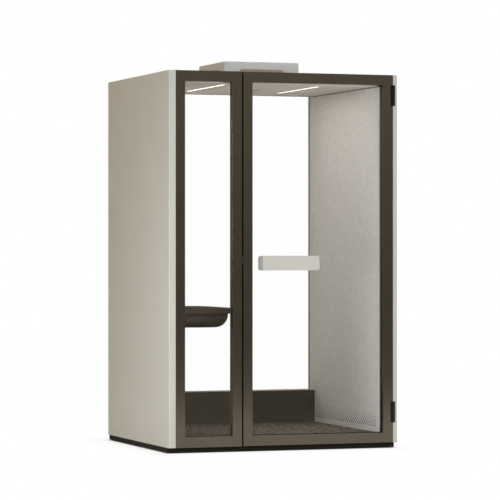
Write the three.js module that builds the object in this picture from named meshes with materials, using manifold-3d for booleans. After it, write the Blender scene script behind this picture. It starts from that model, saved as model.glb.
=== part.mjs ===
// Acoustic office pod: a sound-insulated cabin for one person, with a glazed front, a door that
// opens outward, a glazed rear wall, a wall desk and a ventilation unit on the roof.
// Millimetres, +Z up, the front faces -Y. The origin is on the ground under the middle of the pod.
import * as THREE from 'three';
import { mergeVertices } from 'three/addons/utils/BufferGeometryUtils.js';
import Module from 'manifold-3d';

// Cabin outline
const cabinWidth = 1400;
const cabinDepth = 1215;
const cabinTop = 2175;
// Gap between two pieces that bear on each other
const seam = 0.3;
// How far a cutting shape runs past the face that it cuts
const overshoot = 1;

// Base: a plinth board on four levelling feet
const footHeight = 3;
const footRadius = 30;
const footStudRadius = 6;
const footStudLength = 16;
const footEdgeDistance = 110;
const plinthTop = 32;
const plinthSideInset = 6;
const plinthFrontInset = 38;
const plinthRearInset = 11;

// Side walls: folded steel skin, acoustic core and felt lining
const skinThickness = 2;
const skinCornerRadius = 11;
const leftReturn = 40;
const rightReturn = 28;
const rearReturn = 40;
const wallThickness = 100;
const feltThickness = 12;
const feltShadowGap = 5;
const feltDoorGap = 2;

// Floor, ceiling and roof
const floorThickness = 59;
const carpetThickness = 8;
const ceilingDrop = 63;
const roofCoverThickness = 10;
const airHoleRadius = 62;

// Ceiling lights
const lightWidth = 22;
const lightThickness = 6;
const lightRecess = 4;
const lightBacking = 2;
const lightSpacing = 582;
const lightFrontGap = 150;
const lightRearGap = 239;

// Hollow frame profiles and glazing
const stileWidth = 56;
const railHeight = 60;
const profileWall = 2.5;
const glassSetback = 38;
const glassThickness = 10;
const gasketWidth = 2.5;
const rebateWidth = 14;

// Door leaf and the stops that it closes on
const doorWidth = 923;
const hingeStileWidth = 61;
const leafDepth = 56;
const meetingGap = 9;
const doorSideGap = 2;
const doorFloorGap = 2;
const sealGap = 6;
const sealWidth = 12;
const sealInset = 4;
const stopThickness = 12;
const stopMargin = 4;

// Door hinges
const hingeHeight = 121;
const hingeWidth = 26;
const hingePlateThickness = 4;
const hingeBarrelRadius = 7;
const hingePinRadius = 4;
const hingeRunningGap = 0.4;
const upperHingeDrop = 60;
const lowerHingeRise = 119;

// Door handle outside, and the smaller pull inside that is bolted to it through the glass
const handleLength = 346;
const handleHeight = 84;
const handleReach = 47;
const handlePlateThickness = 22;
const handleLegMargin = 2.4;
const handleCornerRadius = 13;
const handleFromLockEdge = 103;
const handleCentreHeight = 1080;
const pullInset = 18;
const pullHeight = 56;
const pullDepth = 40;
const pullPlateThickness = 10;
const pullLegWidth = 20;
const pullCornerRadius = 8;
const boltRadius = 5;
const boltHoleGap = 0.6;
const boltEngagement = 18;

// Magnetic catch in the gap between the fixed frame and the door
const catchBottom = 1074;
const catchHeight = 46;
const catchSetback = 10;
const catchDepth = 30;
const catchPlateThickness = 2.5;
const catchClearance = 3;

// Rear wall
const rearDepth = 70;
const rearSillHeight = 195;
const kickPanelThickness = 18;
const ductDepth = 59;
const ductSheet = 3;
const intakeSlotLength = 90;
const intakeSlotHeight = 7;
const intakeSlotPitch = 18;
const intakeRows = 5;
const intakeColumns = 4;
const intakeColumnPitch = 130;
const inletWidth = 48;
const inletHeight = 28;
const inletDepth = 32;
const inletWall = 5;
const inletFromSide = 190;
const inletCentreHeight = 130;

// Ventilation unit on the roof
const ventSize = 469;
const ventHeight = 87;
const ventBehindMiddle = 20;
const ventWall = 3;
const ventCornerRadius = 10;
const ventEdgeRadius = 7;
const ventSlotWidth = 273;
const ventSlotHeight = 42;
const ventSlotRadius = 15;

// Fan inside the ventilation unit
const fanFrameWidth = 180;
const fanHeight = 50;
const fanFrameWall = 7;
const fanSpiderThickness = 8;
const fanSpiderWidth = 12;
const fanMotorRadius = 30;
const fanShaftRadius = 4;
const fanShaftGap = 0.4;
const fanBladeCount = 7;
const fanBladeChord = 34;
const fanBladeThickness = 3;
const fanBladePitch = 35;
const fanTipGap = 3;
const fanHubHeight = 30;
const fanShaftLength = 26;

// Desk on the left wall, with a cable console under it
const deskHeight = 723;
const deskThickness = 26;
const deskReach = 460;
const deskFrontDistance = 150;
const deskRearGap = 25;
const deskCornerRadius = 130;
const consoleReach = 348;
const consoleDepth = 81;
const consoleSetIn = 30;
const consoleCornerRadius = 110;
const consoleEdgeRadius = 75;
const consoleWall = 8;

// Control plate over the desk, with its push button
const controlWidth = 150;
const controlHeight = 80;
const controlBack = 2.6;
const controlCornerRadius = 8;
const controlAboveDesk = 60;
const buttonRadius = 12;
const buttonProud = 3;
const buttonInside = 4;
const buttonTravel = 2;
const buttonFromEdge = 30;
const buttonGap = 0.4;

// Facets on round shapes
const arcSteps = 6;
const edgeSteps = 6;
const roundSides = 24;

// Places worked out from the sizes above, from the left outer face, the front face and the ground
const stopFront = leafDepth + sealGap;
const portalDepth = stopFront + stopThickness;
const rearFace = cabinDepth - rearDepth;
const liningFront = portalDepth + seam;
const liningRear = rearFace - seam;
const coreOuter = skinThickness + seam;
const coreInner = wallThickness - feltThickness - seam;
const floorTop = plinthTop + floorThickness;
const deckTop = floorTop - carpetThickness - seam;
const ceilingUnderside = cabinTop - ceilingDrop;
const ceilingTop = ceilingUnderside + lightRecess + lightThickness + lightBacking;
const roofCoverBottom = cabinTop - roofCoverThickness;
const fixedLeft = leftReturn + seam;
const fixedOpeningLeft = fixedLeft + stileWidth;
const doorRight = cabinWidth - rightReturn - doorSideGap;
const doorLeft = doorRight - doorWidth;
const fixedRight = doorLeft - meetingGap;
const fixedOpeningRight = fixedRight - stileWidth;
const frameBottom = plinthTop + seam;
const leafBottom = plinthTop + doorFloorGap;
const stopOverlap = sealInset + sealWidth + stopMargin;
const hingeX = doorRight + doorSideGap / 2;
const hingeY = -hingeBarrelRadius - seam;
const glassBack = glassSetback + glassThickness;
const rearSillTop = floorTop + rearSillHeight;
const ductFront = rearFace - ductDepth;
const ventCentre = [cabinWidth / 2, cabinDepth / 2 + ventBehindMiddle];
const ventBottom = cabinTop + seam;
const ventTop = cabinTop + ventHeight;
const fanBoreRadius = fanFrameWidth / 2 - fanFrameWall;
const handleLeft = doorLeft + handleFromLockEdge;
const boltFromHandleEnd = pullInset + pullLegWidth / 2;
const handleLegWidth = boltFromHandleEnd + boltRadius + boltHoleGap + handleLegMargin;
const deskTop = floorTop + deskHeight;
const deskRear = rearFace - deskRearGap;

const finishes = {
  shellPaint: { color: 0xb5ada0, roughness: 0.55, metalness: 0 },
  framePaint: { color: 0x4a4239, roughness: 0.4, metalness: 0 },
  blackPaint: { color: 0x1a1815, roughness: 0.5, metalness: 0 },
  plinthBoard: { color: 0x2a2620, roughness: 0.6, metalness: 0 },
  lightPaint: { color: 0xc7c3bb, roughness: 0.45, metalness: 0 },
  glass: { color: 0xf4f7f6, roughness: 0.02, metalness: 0 },
  rubber: { color: 0x181613, roughness: 0.8, metalness: 0 },
  felt: { color: 0xb0aba4, roughness: 0.95, metalness: 0 },
  core: { color: 0x8d8478, roughness: 0.9, metalness: 0 },
  deckBoard: { color: 0xa58b68, roughness: 0.7, metalness: 0 },
  carpet: { color: 0x5a544c, roughness: 1, metalness: 0 },
  ceilingBoard: { color: 0xa59b8f, roughness: 0.9, metalness: 0 },
  diffuser: { color: 0xffffff, roughness: 0.4, metalness: 0 },
  ventPaint: { color: 0xbebbb6, roughness: 0.5, metalness: 0 },
  deskLaminate: { color: 0x4b4239, roughness: 0.5, metalness: 0 },
  blackPlastic: { color: 0x1d1c1b, roughness: 0.45, metalness: 0 },
  steel: { color: 0xb8b8b6, roughness: 0.3, metalness: 1 },
};

const wasm = await Module();
wasm.setup();

/** Turns a closed geometry into a solid that can be cut and joined. */
function solidOf(geometry) {
  const bare = geometry.clone();
  bare.deleteAttribute('normal');
  bare.deleteAttribute('uv');
  const merged = mergeVertices(bare, 1e-4);
  return new wasm.Manifold(new wasm.Mesh({
    numProp: 3,
    vertProperties: new Float32Array(merged.attributes.position.array),
    triVerts: new Uint32Array(merged.index.array),
  }));
}

/** Turns a solid back into a geometry with flat facets. */
function geometryOf(solid) {
  const mesh = solid.getMesh();
  const geometry = new THREE.BufferGeometry();
  geometry.setAttribute('position', new THREE.BufferAttribute(new Float32Array(mesh.vertProperties), 3));
  geometry.setIndex(new THREE.BufferAttribute(new Uint32Array(mesh.triVerts), 1));
  geometry.computeVertexNormals();
  return geometry;
}

/** Cuts each tool out of a geometry. */
function cut(geometry, ...tools) {
  return geometryOf(tools.reduce((solid, tool) => solid.subtract(solidOf(tool)), solidOf(geometry)));
}

/** Joins geometries that overlap into one. */
function join(geometry, ...others) {
  return geometryOf(others.reduce((solid, other) => solid.add(solidOf(other)), solidOf(geometry)));
}

/** Keeps only what two geometries share. */
function common(geometry, other) {
  return geometryOf(solidOf(geometry).intersect(solidOf(other)));
}

/** A box between two limits along each axis. */
function block([x0, x1], [y0, y1], [z0, z1]) {
  const box = new THREE.BoxGeometry(x1 - x0, y1 - y0, z1 - z0);
  return box.translate((x0 + x1) / 2, (y0 + y1) / 2, (z0 + z1) / 2);
}

/** An outline in plan, pulled up between two heights. */
function prism(shape, [z0, z1]) {
  const options = { depth: z1 - z0, bevelEnabled: false, curveSegments: arcSteps };
  return new THREE.ExtrudeGeometry(shape, options).translate(0, 0, z0);
}

/** An outline drawn in X and Z, pulled back between two depths. */
function upright(shape, [y0, y1]) {
  return prism(shape, [-y1, -y0]).rotateX(Math.PI / 2);
}

/** An outline drawn in Y and Z, pulled across between two widths. */
function sideways(shape, [x0, x1]) {
  return prism(shape, [x0, x1]).rotateX(Math.PI / 2).rotateZ(Math.PI / 2);
}

/** A straight-sided outline through the given points. */
function polygon(points) {
  return new THREE.Shape(points.map(([x, y]) => new THREE.Vector2(x, y)));
}

/** A rectangle with a radius for each corner, from the lower left one anticlockwise. */
function roundedRect([x0, x1], [y0, y1], [r0, r1, r2, r3]) {
  const shape = new THREE.Shape();
  shape.moveTo(x0 + r0, y0).lineTo(x1 - r1, y0);
  if (r1) shape.absarc(x1 - r1, y0 + r1, r1, -Math.PI / 2, 0);
  shape.lineTo(x1, y1 - r2);
  if (r2) shape.absarc(x1 - r2, y1 - r2, r2, 0, Math.PI / 2);
  shape.lineTo(x0 + r3, y1);
  if (r3) shape.absarc(x0 + r3, y1 - r3, r3, Math.PI / 2, Math.PI);
  shape.lineTo(x0, y0 + r0);
  if (r0) shape.absarc(x0 + r0, y0 + r0, r0, Math.PI, Math.PI * 1.5);
  return shape;
}

/** A rectangle with the same radius at each corner. */
function evenRect(spanX, spanY, radius) {
  return roundedRect(spanX, spanY, [radius, radius, radius, radius]);
}

/** A round bar on a vertical axis. */
function column(radius, [x, y], [z0, z1], sides = roundSides) {
  const bar = new THREE.CylinderGeometry(radius, radius, z1 - z0, sides);
  return bar.rotateX(Math.PI / 2).translate(x, y, (z0 + z1) / 2);
}

/** A round bar that runs from front to back. */
function bolt(radius, [x, z], [y0, y1]) {
  return new THREE.CylinderGeometry(radius, radius, y1 - y0, roundSides).translate(x, (y0 + y1) / 2, z);
}

/** A round bar that runs from left to right. */
function crossBar(radius, [y, z], [x0, x1]) {
  const bar = new THREE.CylinderGeometry(radius, radius, x1 - x0, roundSides);
  return bar.rotateZ(Math.PI / 2).translate((x0 + x1) / 2, y, z);
}

/** A rectangle with square corners. */
function sharpRect([x0, x1], [y0, y1]) {
  return polygon([[x0, y0], [x1, y0], [x1, y1], [x0, y1]]);
}

/** A flat upright ring inside a rectangle, pulled back between two depths. */
function uprightRing(spanX, spanZ, width, spanY) {
  const shape = sharpRect(spanX, spanZ);
  shape.holes.push(sharpRect(inset(spanX, width), inset(spanZ, width)));
  return upright(shape, spanY);
}

/** Limits drawn in by a margin at both ends. */
function inset([low, high], margin) {
  return [low + margin, high - margin];
}

/** Limits that lie about a middle. */
function about(middle, size) {
  return [middle - size / 2, middle + size / 2];
}

/** Limits on the other side of the pod, mirrored about its middle. */
function mirrored([low, high]) {
  return [cabinWidth - high, cabinWidth - low];
}

/** An upright hollow profile, open at its foot and closed at its head. */
function stile(spanX, spanY, spanZ) {
  const hollow = block(inset(spanX, profileWall), inset(spanY, profileWall),
    [spanZ[0] - profileWall, spanZ[1] - profileWall]);
  return cut(block(spanX, spanY, spanZ), hollow);
}

/** An upright hollow profile with a rebate for the pane behind its front lip, on one side. */
function glazedStile(spanX, spanY, spanZ, rebateZ, onRight) {
  const [left, right] = spanX;
  const lipBack = glassSetback - seam;
  const roomZ = [spanZ[0] - profileWall, spanZ[1] - profileWall];
  const backX = onRight ? [left, right - rebateWidth] : [left + rebateWidth, right];
  const rebateX = onRight ? [backX[1], right + overshoot] : [left - overshoot, backX[0]];
  const lipRoom = block(inset(spanX, profileWall), inset([spanY[0], lipBack], profileWall), roomZ);
  const backRoom = block(inset(backX, profileWall), inset(spanY, profileWall), roomZ);
  const rebate = block(rebateX, [lipBack, spanY[1] + overshoot], rebateZ);
  return cut(block(spanX, spanY, spanZ), lipRoom, backRoom, rebate);
}

/** The level profile over a pane, with the rebate for the pane behind its front lip. */
function glazedHead(spanX, spanY, spanZ) {
  const lipBack = glassSetback - seam;
  const roomX = inset(spanX, -profileWall);
  const backZ = [spanZ[0] + rebateWidth, spanZ[1]];
  const lipRoom = block(roomX, inset([spanY[0], lipBack], profileWall), inset(spanZ, profileWall));
  const backRoom = block(roomX, inset(spanY, profileWall), inset(backZ, profileWall));
  const rebateZ = [spanZ[0] - overshoot, backZ[0]];
  const rebate = block(roomX, [lipBack, spanY[1] + overshoot], rebateZ);
  return cut(block(spanX, spanY, spanZ), lipRoom, backRoom, rebate);
}

/** A level hollow profile, open at both ends, where the stiles close it. */
function rail(spanX, spanY, spanZ) {
  const hollow = block(inset(spanX, -profileWall), inset(spanY, profileWall), inset(spanZ, profileWall));
  return cut(block(spanX, spanY, spanZ), hollow);
}

const pod = new THREE.Group();
pod.position.set(-cabinWidth / 2, (handleReach - cabinDepth) / 2, 0);

/** Adds a named group of pieces to the pod. */
function section(name) {
  const group = new THREE.Group();
  group.name = name;
  pod.add(group);
  return group;
}

/** Adds one piece to a group. */
function piece(group, name, geometry, finish) {
  const mesh = new THREE.Mesh(geometry, new THREE.MeshStandardMaterial(finish));
  mesh.name = name;
  group.add(mesh);
}

/** Plinth board with its sockets, and the feet whose studs stand in them. */
function buildBase() {
  const group = section('base');
  const spanX = inset([0, cabinWidth], plinthSideInset);
  const spanY = [plinthFrontInset, cabinDepth - plinthRearInset];
  const places = [];
  for (const y of inset([0, cabinDepth], footEdgeDistance)) {
    for (const x of inset([0, cabinWidth], footEdgeDistance)) places.push([x, y]);
  }
  const socketTop = footHeight + footStudLength + seam;
  const sockets = places.map((place) => column(footStudRadius + seam, place, [0, socketTop]));
  const board = block(spanX, spanY, [footHeight + seam, plinthTop]);
  piece(group, 'base_plinth', cut(board, ...sockets), finishes.plinthBoard);
  const profile = [[0, 0], [footRadius, 0], [footRadius, footHeight], [footStudRadius, footHeight],
    [footStudRadius, footHeight + footStudLength], [0, footHeight + footStudLength]];
  const names = ['front_left', 'front_right', 'rear_left', 'rear_right'];
  places.forEach(([x, y], i) => {
    const foot = new THREE.LatheGeometry(profile.map(([r, z]) => new THREE.Vector2(r, z)), roundSides);
    foot.rotateX(Math.PI / 2).translate(x, y, 0);
    piece(group, `levelling_foot_${names[i]}`, foot, finishes.blackPlastic);
  });
}

/** Plan outline of a side skin: a long sheet with a return at each end, round at the corners. */
function skinOutline(frontReturn) {
  const outer = skinCornerRadius;
  const inner = skinCornerRadius - skinThickness;
  const shape = new THREE.Shape();
  shape.moveTo(frontReturn, skinThickness).lineTo(outer, skinThickness);
  shape.absarc(outer, outer, inner, -Math.PI / 2, -Math.PI, true);
  shape.lineTo(skinThickness, cabinDepth - outer);
  shape.absarc(outer, cabinDepth - outer, inner, Math.PI, Math.PI / 2, true);
  shape.lineTo(rearReturn, cabinDepth - skinThickness).lineTo(rearReturn, cabinDepth);
  shape.lineTo(outer, cabinDepth);
  shape.absarc(outer, cabinDepth - outer, outer, Math.PI / 2, Math.PI);
  shape.lineTo(0, outer);
  shape.absarc(outer, outer, outer, Math.PI, Math.PI * 1.5);
  shape.lineTo(frontReturn, 0);
  return shape;
}

/** The same outline for the right side, mirrored about the middle of the pod. */
function mirroredOutline(shape) {
  const points = shape.getPoints(arcSteps).reverse();
  return polygon(points.map((point) => [cabinWidth - point.x, point.y]));
}

/** Skin, core and lining of both side walls. */
function buildWalls() {
  const group = section('walls');
  const height = [frameBottom, cabinTop];
  const depth = [liningFront, liningRear];
  const coreHeight = [frameBottom, roofCoverBottom - seam];
  const feltHeight = [deckTop + seam, ceilingUnderside - feltShadowGap];
  const core = [coreOuter, coreInner];
  const felt = [wallThickness - feltThickness, wallThickness];
  const left = skinOutline(leftReturn);
  const right = mirroredOutline(skinOutline(rightReturn));
  piece(group, 'left_outer_skin', prism(left, height), finishes.shellPaint);
  piece(group, 'right_outer_skin', prism(right, height), finishes.shellPaint);
  piece(group, 'left_wall_core', block(core, depth, coreHeight), finishes.core);
  piece(group, 'right_wall_core', block(mirrored(core), depth, coreHeight), finishes.core);
  piece(group, 'left_felt_lining', block(felt, depth, feltHeight), finishes.felt);
  const edgeX = [cabinWidth - wallThickness, doorRight - stopOverlap - seam];
  const edgeDepth = [leafDepth + feltDoorGap, liningFront - seam];
  const edgeHeight = [plinthTop + railHeight + seam, feltHeight[1]];
  const edge = block(edgeX, edgeDepth, edgeHeight);
  const bridge = block(mirrored(felt), [edgeDepth[0], liningFront + overshoot], edgeHeight);
  const rightFelt = join(block(mirrored(felt), depth, feltHeight), bridge, edge);
  piece(group, 'right_felt_lining', rightFelt, finishes.felt);
}

/** Floor deck between the wall cores, and the carpet on it between the linings. */
function buildFloor() {
  const group = section('floor');
  const deckWidth = [coreInner + seam, cabinWidth - coreInner - seam];
  const carpetWidth = inset([wallThickness, cabinWidth - wallThickness], seam);
  const deck = block(deckWidth, [liningFront, liningRear], [frameBottom, deckTop]);
  const carpet = block(carpetWidth, [liningFront, ductFront - seam], [deckTop + seam, floorTop]);
  piece(group, 'floor_deck', deck, finishes.deckBoard);
  piece(group, 'floor_carpet', carpet, finishes.carpet);
}

/** Plan outline of the roof cover: it lies between the skins, with a tab over each hollow corner. */
function roofOutline() {
  const [left, right] = inset([0, cabinWidth], coreOuter);
  const [front, rear] = inset([0, cabinDepth], coreOuter);
  const chamfer = skinCornerRadius;
  const tab = leftReturn - seam;
  const rearTab = rearReturn - seam;
  return polygon([[left + chamfer, front], [tab, front], [tab, liningFront], [right, liningFront],
    [right, rear - chamfer], [right - chamfer, rear], [cabinWidth - rearTab, rear],
    [cabinWidth - rearTab, liningRear], [rearTab, liningRear], [rearTab, rear],
    [left + chamfer, rear], [left, rear - chamfer], [left, front + chamfer]]);
}

/** Ceiling board with its light slots, roof core and roof cover, with the air hole through all three. */
function buildRoof() {
  const group = section('roof');
  const width = [coreInner + seam, cabinWidth - coreInner - seam];
  const depth = [liningFront, liningRear];
  const airHole = column(airHoleRadius, ventCentre, inset([ceilingUnderside, cabinTop], -overshoot));
  const lightDepth = [liningFront + lightFrontGap, liningRear - lightRearGap];
  const lightBottom = ceilingUnderside + lightRecess;
  const lightHeight = [lightBottom, lightBottom + lightThickness];
  const lightSpans = about(cabinWidth / 2, lightSpacing).map((middle) => about(middle, lightWidth));
  const slotHeight = [ceilingUnderside - overshoot, lightHeight[1] + seam];
  const slots = lightSpans.map((span) => block(inset(span, -seam), inset(lightDepth, -seam), slotHeight));
  const ceiling = block(width, depth, [ceilingUnderside, ceilingTop]);
  const core = block(width, depth, [ceilingTop + seam, roofCoverBottom - seam]);
  const cover = prism(roofOutline(), [roofCoverBottom, cabinTop]);
  piece(group, 'ceiling_panel', cut(ceiling, airHole, ...slots), finishes.ceilingBoard);
  piece(group, 'roof_core', cut(core, airHole), finishes.core);
  piece(group, 'roof_cover', cut(cover, airHole), finishes.shellPaint);
  ['left_light', 'right_light'].forEach((name, i) => {
    piece(group, name, block(lightSpans[i], lightDepth, lightHeight), finishes.diffuser);
  });
}

/** Pane and gasket that fill an opening in a frame. */
function buildGlazing(group, name, spanX, spanZ, spanY, holes = []) {
  const ringX = inset(spanX, seam);
  const ringZ = inset(spanZ, seam);
  const paneX = inset(ringX, gasketWidth + seam);
  const paneZ = inset(ringZ, gasketWidth + seam);
  const pane = block(paneX, spanY, paneZ);
  piece(group, `${name}_glass`, holes.length ? cut(pane, ...holes) : pane, finishes.glass);
  piece(group, `${name}_gasket`, uprightRing(ringX, ringZ, gasketWidth, spanY), finishes.rubber);
}

/** Fixed window beside the door. Its right stile carries the stop that the door closes on. */
function buildFixedWindow() {
  const group = section('fixed_window');
  const depth = [0, portalDepth];
  const height = [frameBottom, cabinTop];
  const openingX = [fixedOpeningLeft, fixedOpeningRight];
  const openingZ = [plinthTop + railHeight, cabinTop - railHeight];
  const railWidth = inset(openingX, seam);
  const paneX = inset(openingX, -rebateWidth);
  const paneZ = [openingZ[0], openingZ[1] + rebateWidth];
  const leftStile = glazedStile([fixedLeft, fixedOpeningLeft], depth, height, paneZ, true);
  const topRail = glazedHead(railWidth, depth, [openingZ[1], cabinTop]);
  const bottomRail = rail(railWidth, depth, [frameBottom, openingZ[0]]);
  const stopEnd = doorLeft + stopOverlap;
  const stop = block([fixedRight - profileWall, stopEnd], [stopFront, portalDepth], height);
  const mullion = join(glazedStile([fixedOpeningRight, fixedRight], depth, height, paneZ, false), stop);
  piece(group, 'fixed_left_stile', leftStile, finishes.framePaint);
  piece(group, 'mullion', mullion, finishes.framePaint);
  piece(group, 'fixed_top_rail', topRail, finishes.framePaint);
  piece(group, 'fixed_bottom_rail', bottomRail, finishes.framePaint);
  buildGlazing(group, 'fixed', paneX, paneZ, [glassSetback, glassBack]);
}

/** Jamb, header, threshold and seal behind the door leaf. */
function buildDoorway() {
  const group = section('doorway');
  const returnEdge = cabinWidth - rightReturn;
  const stopEdge = doorRight - stopOverlap;
  const postRight = cabinWidth - coreOuter;
  const chamfer = skinCornerRadius;
  const jamb = polygon([[returnEdge, coreOuter], [postRight - chamfer, coreOuter],
    [postRight, coreOuter + chamfer], [postRight, portalDepth], [stopEdge, portalDepth],
    [stopEdge, stopFront], [returnEdge, stopFront]]);
  const stopWidth = [doorLeft + stopOverlap + seam, stopEdge - seam];
  const stopDepth = [stopFront, portalDepth];
  const header = block(stopWidth, stopDepth, [cabinTop - railHeight + rebateWidth, cabinTop]);
  const threshold = block(stopWidth, stopDepth, [frameBottom, plinthTop + railHeight]);
  const sealX = inset([doorLeft, doorRight], sealInset);
  const sealZ = inset([leafBottom, cabinTop], sealInset);
  const seal = uprightRing(sealX, sealZ, sealWidth, inset([leafDepth, stopFront], seam));
  piece(group, 'hinge_jamb', prism(jamb, [frameBottom, cabinTop]), finishes.framePaint);
  piece(group, 'door_header', header, finishes.framePaint);
  piece(group, 'door_threshold', threshold, finishes.framePaint);
  piece(group, 'door_seal', seal, finishes.rubber);
}

/** Door leaf: its four profiles, glazing, handle, inner pull and catch plate. */
function buildDoor() {
  const group = section('door');
  const depth = [0, leafDepth];
  const height = [leafBottom, cabinTop];
  const openingX = [doorLeft + stileWidth, doorRight - hingeStileWidth];
  const openingZ = [plinthTop + railHeight, cabinTop - railHeight];
  const railWidth = inset(openingX, seam);
  const paneX = inset(openingX, -rebateWidth);
  const paneZ = [openingZ[0], openingZ[1] + rebateWidth];
  const lockStile = glazedStile([doorLeft, openingX[0]], depth, height, paneZ, true);
  const hingeStile = glazedStile([openingX[1], doorRight], depth, height, paneZ, false);
  const topRail = glazedHead(railWidth, depth, [openingZ[1], cabinTop]);
  const bottomRail = rail(railWidth, depth, [leafBottom, openingZ[0]]);
  piece(group, 'door_lock_stile', lockStile, finishes.framePaint);
  piece(group, 'door_hinge_stile', hingeStile, finishes.framePaint);
  piece(group, 'door_top_rail', topRail, finishes.framePaint);
  piece(group, 'door_bottom_rail', bottomRail, finishes.framePaint);
  const boltPlaces = inset([handleLeft, handleLeft + handleLength], boltFromHandleEnd);
  const glassDepth = [glassSetback, glassBack];
  const holes = boltHoles(boltPlaces, inset(glassDepth, -overshoot));
  buildGlazing(group, 'door', paneX, paneZ, glassDepth, holes);
  piece(group, 'door_handle', handleShape(boltPlaces), finishes.lightPaint);
  piece(group, 'door_inner_pull', innerPullShape(boltPlaces), finishes.lightPaint);
  const plateWidth = [doorLeft - catchPlateThickness - seam, doorLeft - seam];
  const plateDepth = [catchSetback, catchSetback + catchDepth];
  const plate = block(plateWidth, plateDepth, [catchBottom, catchBottom + catchHeight]);
  piece(group, 'door_catch_plate', plate, finishes.steel);
}

/** Holes for the handle's bolts, between two depths. */
function boltHoles(boltPlaces, spanY) {
  return boltPlaces.map((x) => bolt(boltRadius + boltHoleGap, [x, handleCentreHeight], spanY));
}

/** Outside handle: a flat grip on two legs that stand on the glass, with sockets for the bolts. */
function handleShape(boltPlaces) {
  const spanX = [handleLeft, handleLeft + handleLength];
  const spanZ = about(handleCentreHeight, handleHeight);
  const foot = glassSetback - seam;
  const whole = upright(evenRect(spanX, spanZ, handleCornerRadius), [-handleReach, foot]);
  const roomDepth = [handlePlateThickness - handleReach, foot + overshoot];
  const fingerRoom = block(inset(spanX, handleLegWidth), roomDepth, inset(spanZ, -overshoot));
  const sockets = boltHoles(boltPlaces, [glassSetback - boltEngagement - seam, foot + overshoot]);
  return cut(whole, fingerRoom, ...sockets);
}

/** Inside pull: a slim grip whose legs end in the bolts that hold the outside handle. */
function innerPullShape(boltPlaces) {
  const spanX = inset([handleLeft, handleLeft + handleLength], pullInset);
  const spanZ = about(handleCentreHeight, pullHeight);
  const foot = glassBack + seam;
  const back = foot + pullDepth;
  const whole = upright(evenRect(spanX, spanZ, pullCornerRadius), [foot, back]);
  const roomDepth = [foot - overshoot, back - pullPlateThickness];
  const fingerRoom = block(inset(spanX, pullLegWidth), roomDepth, inset(spanZ, -overshoot));
  const boltDepth = [glassSetback - boltEngagement, foot + overshoot];
  const bolts = boltPlaces.map((x) => bolt(boltRadius, [x, handleCentreHeight], boltDepth));
  return join(cut(whole, fingerRoom), ...bolts);
}

/** One leaf of a hinge: a plate beside the barrel, with the knuckles that this leaf carries. */
function hingeLeaf(side, bottom, knuckles) {
  const along = (near, far) => [hingeX + side * near, hingeX + side * far].sort((a, b) => a - b);
  const plateDepth = [-hingePlateThickness, -seam];
  const plateClear = hingeBarrelRadius + hingeRunningGap;
  const whole = [bottom, bottom + hingeHeight];
  let leaf = block(along(plateClear, hingeWidth / 2), plateDepth, whole);
  for (const spanZ of knuckles) {
    const web = block(along(0, plateClear + overshoot), plateDepth, spanZ);
    leaf = join(leaf, web, column(hingeBarrelRadius, [hingeX, hingeY], spanZ));
  }
  const bore = column(hingePinRadius + hingeRunningGap, [hingeX, hingeY], inset(whole, -overshoot));
  return cut(leaf, bore);
}

/** Two hinges: the frame leaf has the outer knuckles and the pin, the door leaf the middle one. */
function buildHinges() {
  const group = section('hinges');
  const places = {
    upper: cabinTop - upperHingeDrop - hingeHeight,
    lower: plinthTop + lowerHingeRise,
  };
  for (const [name, bottom] of Object.entries(places)) {
    const top = bottom + hingeHeight;
    const middle = inset([bottom, top], hingeHeight / 3);
    const outer = [[bottom, middle[0] - hingeRunningGap], [middle[1] + hingeRunningGap, top]];
    const pin = column(hingePinRadius, [hingeX, hingeY], [bottom, top]);
    piece(group, `${name}_hinge_frame_leaf`, hingeLeaf(1, bottom, outer), finishes.blackPaint);
    piece(group, `${name}_hinge_door_leaf`, hingeLeaf(-1, bottom, [middle]), finishes.blackPaint);
    piece(group, `${name}_hinge_pin`, pin, finishes.steel);
  }
}

/** Magnet of the catch, on the edge of the fixed window's right stile. */
function buildCatch() {
  const group = section('catch');
  const width = [fixedRight + seam, doorLeft - seam - catchPlateThickness - catchClearance];
  const depth = [catchSetback, catchSetback + catchDepth];
  const magnet = block(width, depth, [catchBottom, catchBottom + catchHeight]);
  piece(group, 'catch_magnet', magnet, finishes.blackPlastic);
}

/** Slots of the air intake, in rows and columns about the middle of the kick panel. */
function intakeSlots(spanY, spanZ) {
  const slots = [];
  const middleZ = (spanZ[0] + spanZ[1]) / 2;
  for (let row = 0; row < intakeRows; row += 1) {
    const z = middleZ + (row - (intakeRows - 1) / 2) * intakeSlotPitch;
    for (let place = 0; place < intakeColumns; place += 1) {
      const x = cabinWidth / 2 + (place - (intakeColumns - 1) / 2) * intakeColumnPitch;
      slots.push(block(about(x, intakeSlotLength), inset(spanY, -overshoot), about(z, intakeSlotHeight)));
    }
  }
  return slots;
}

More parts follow.
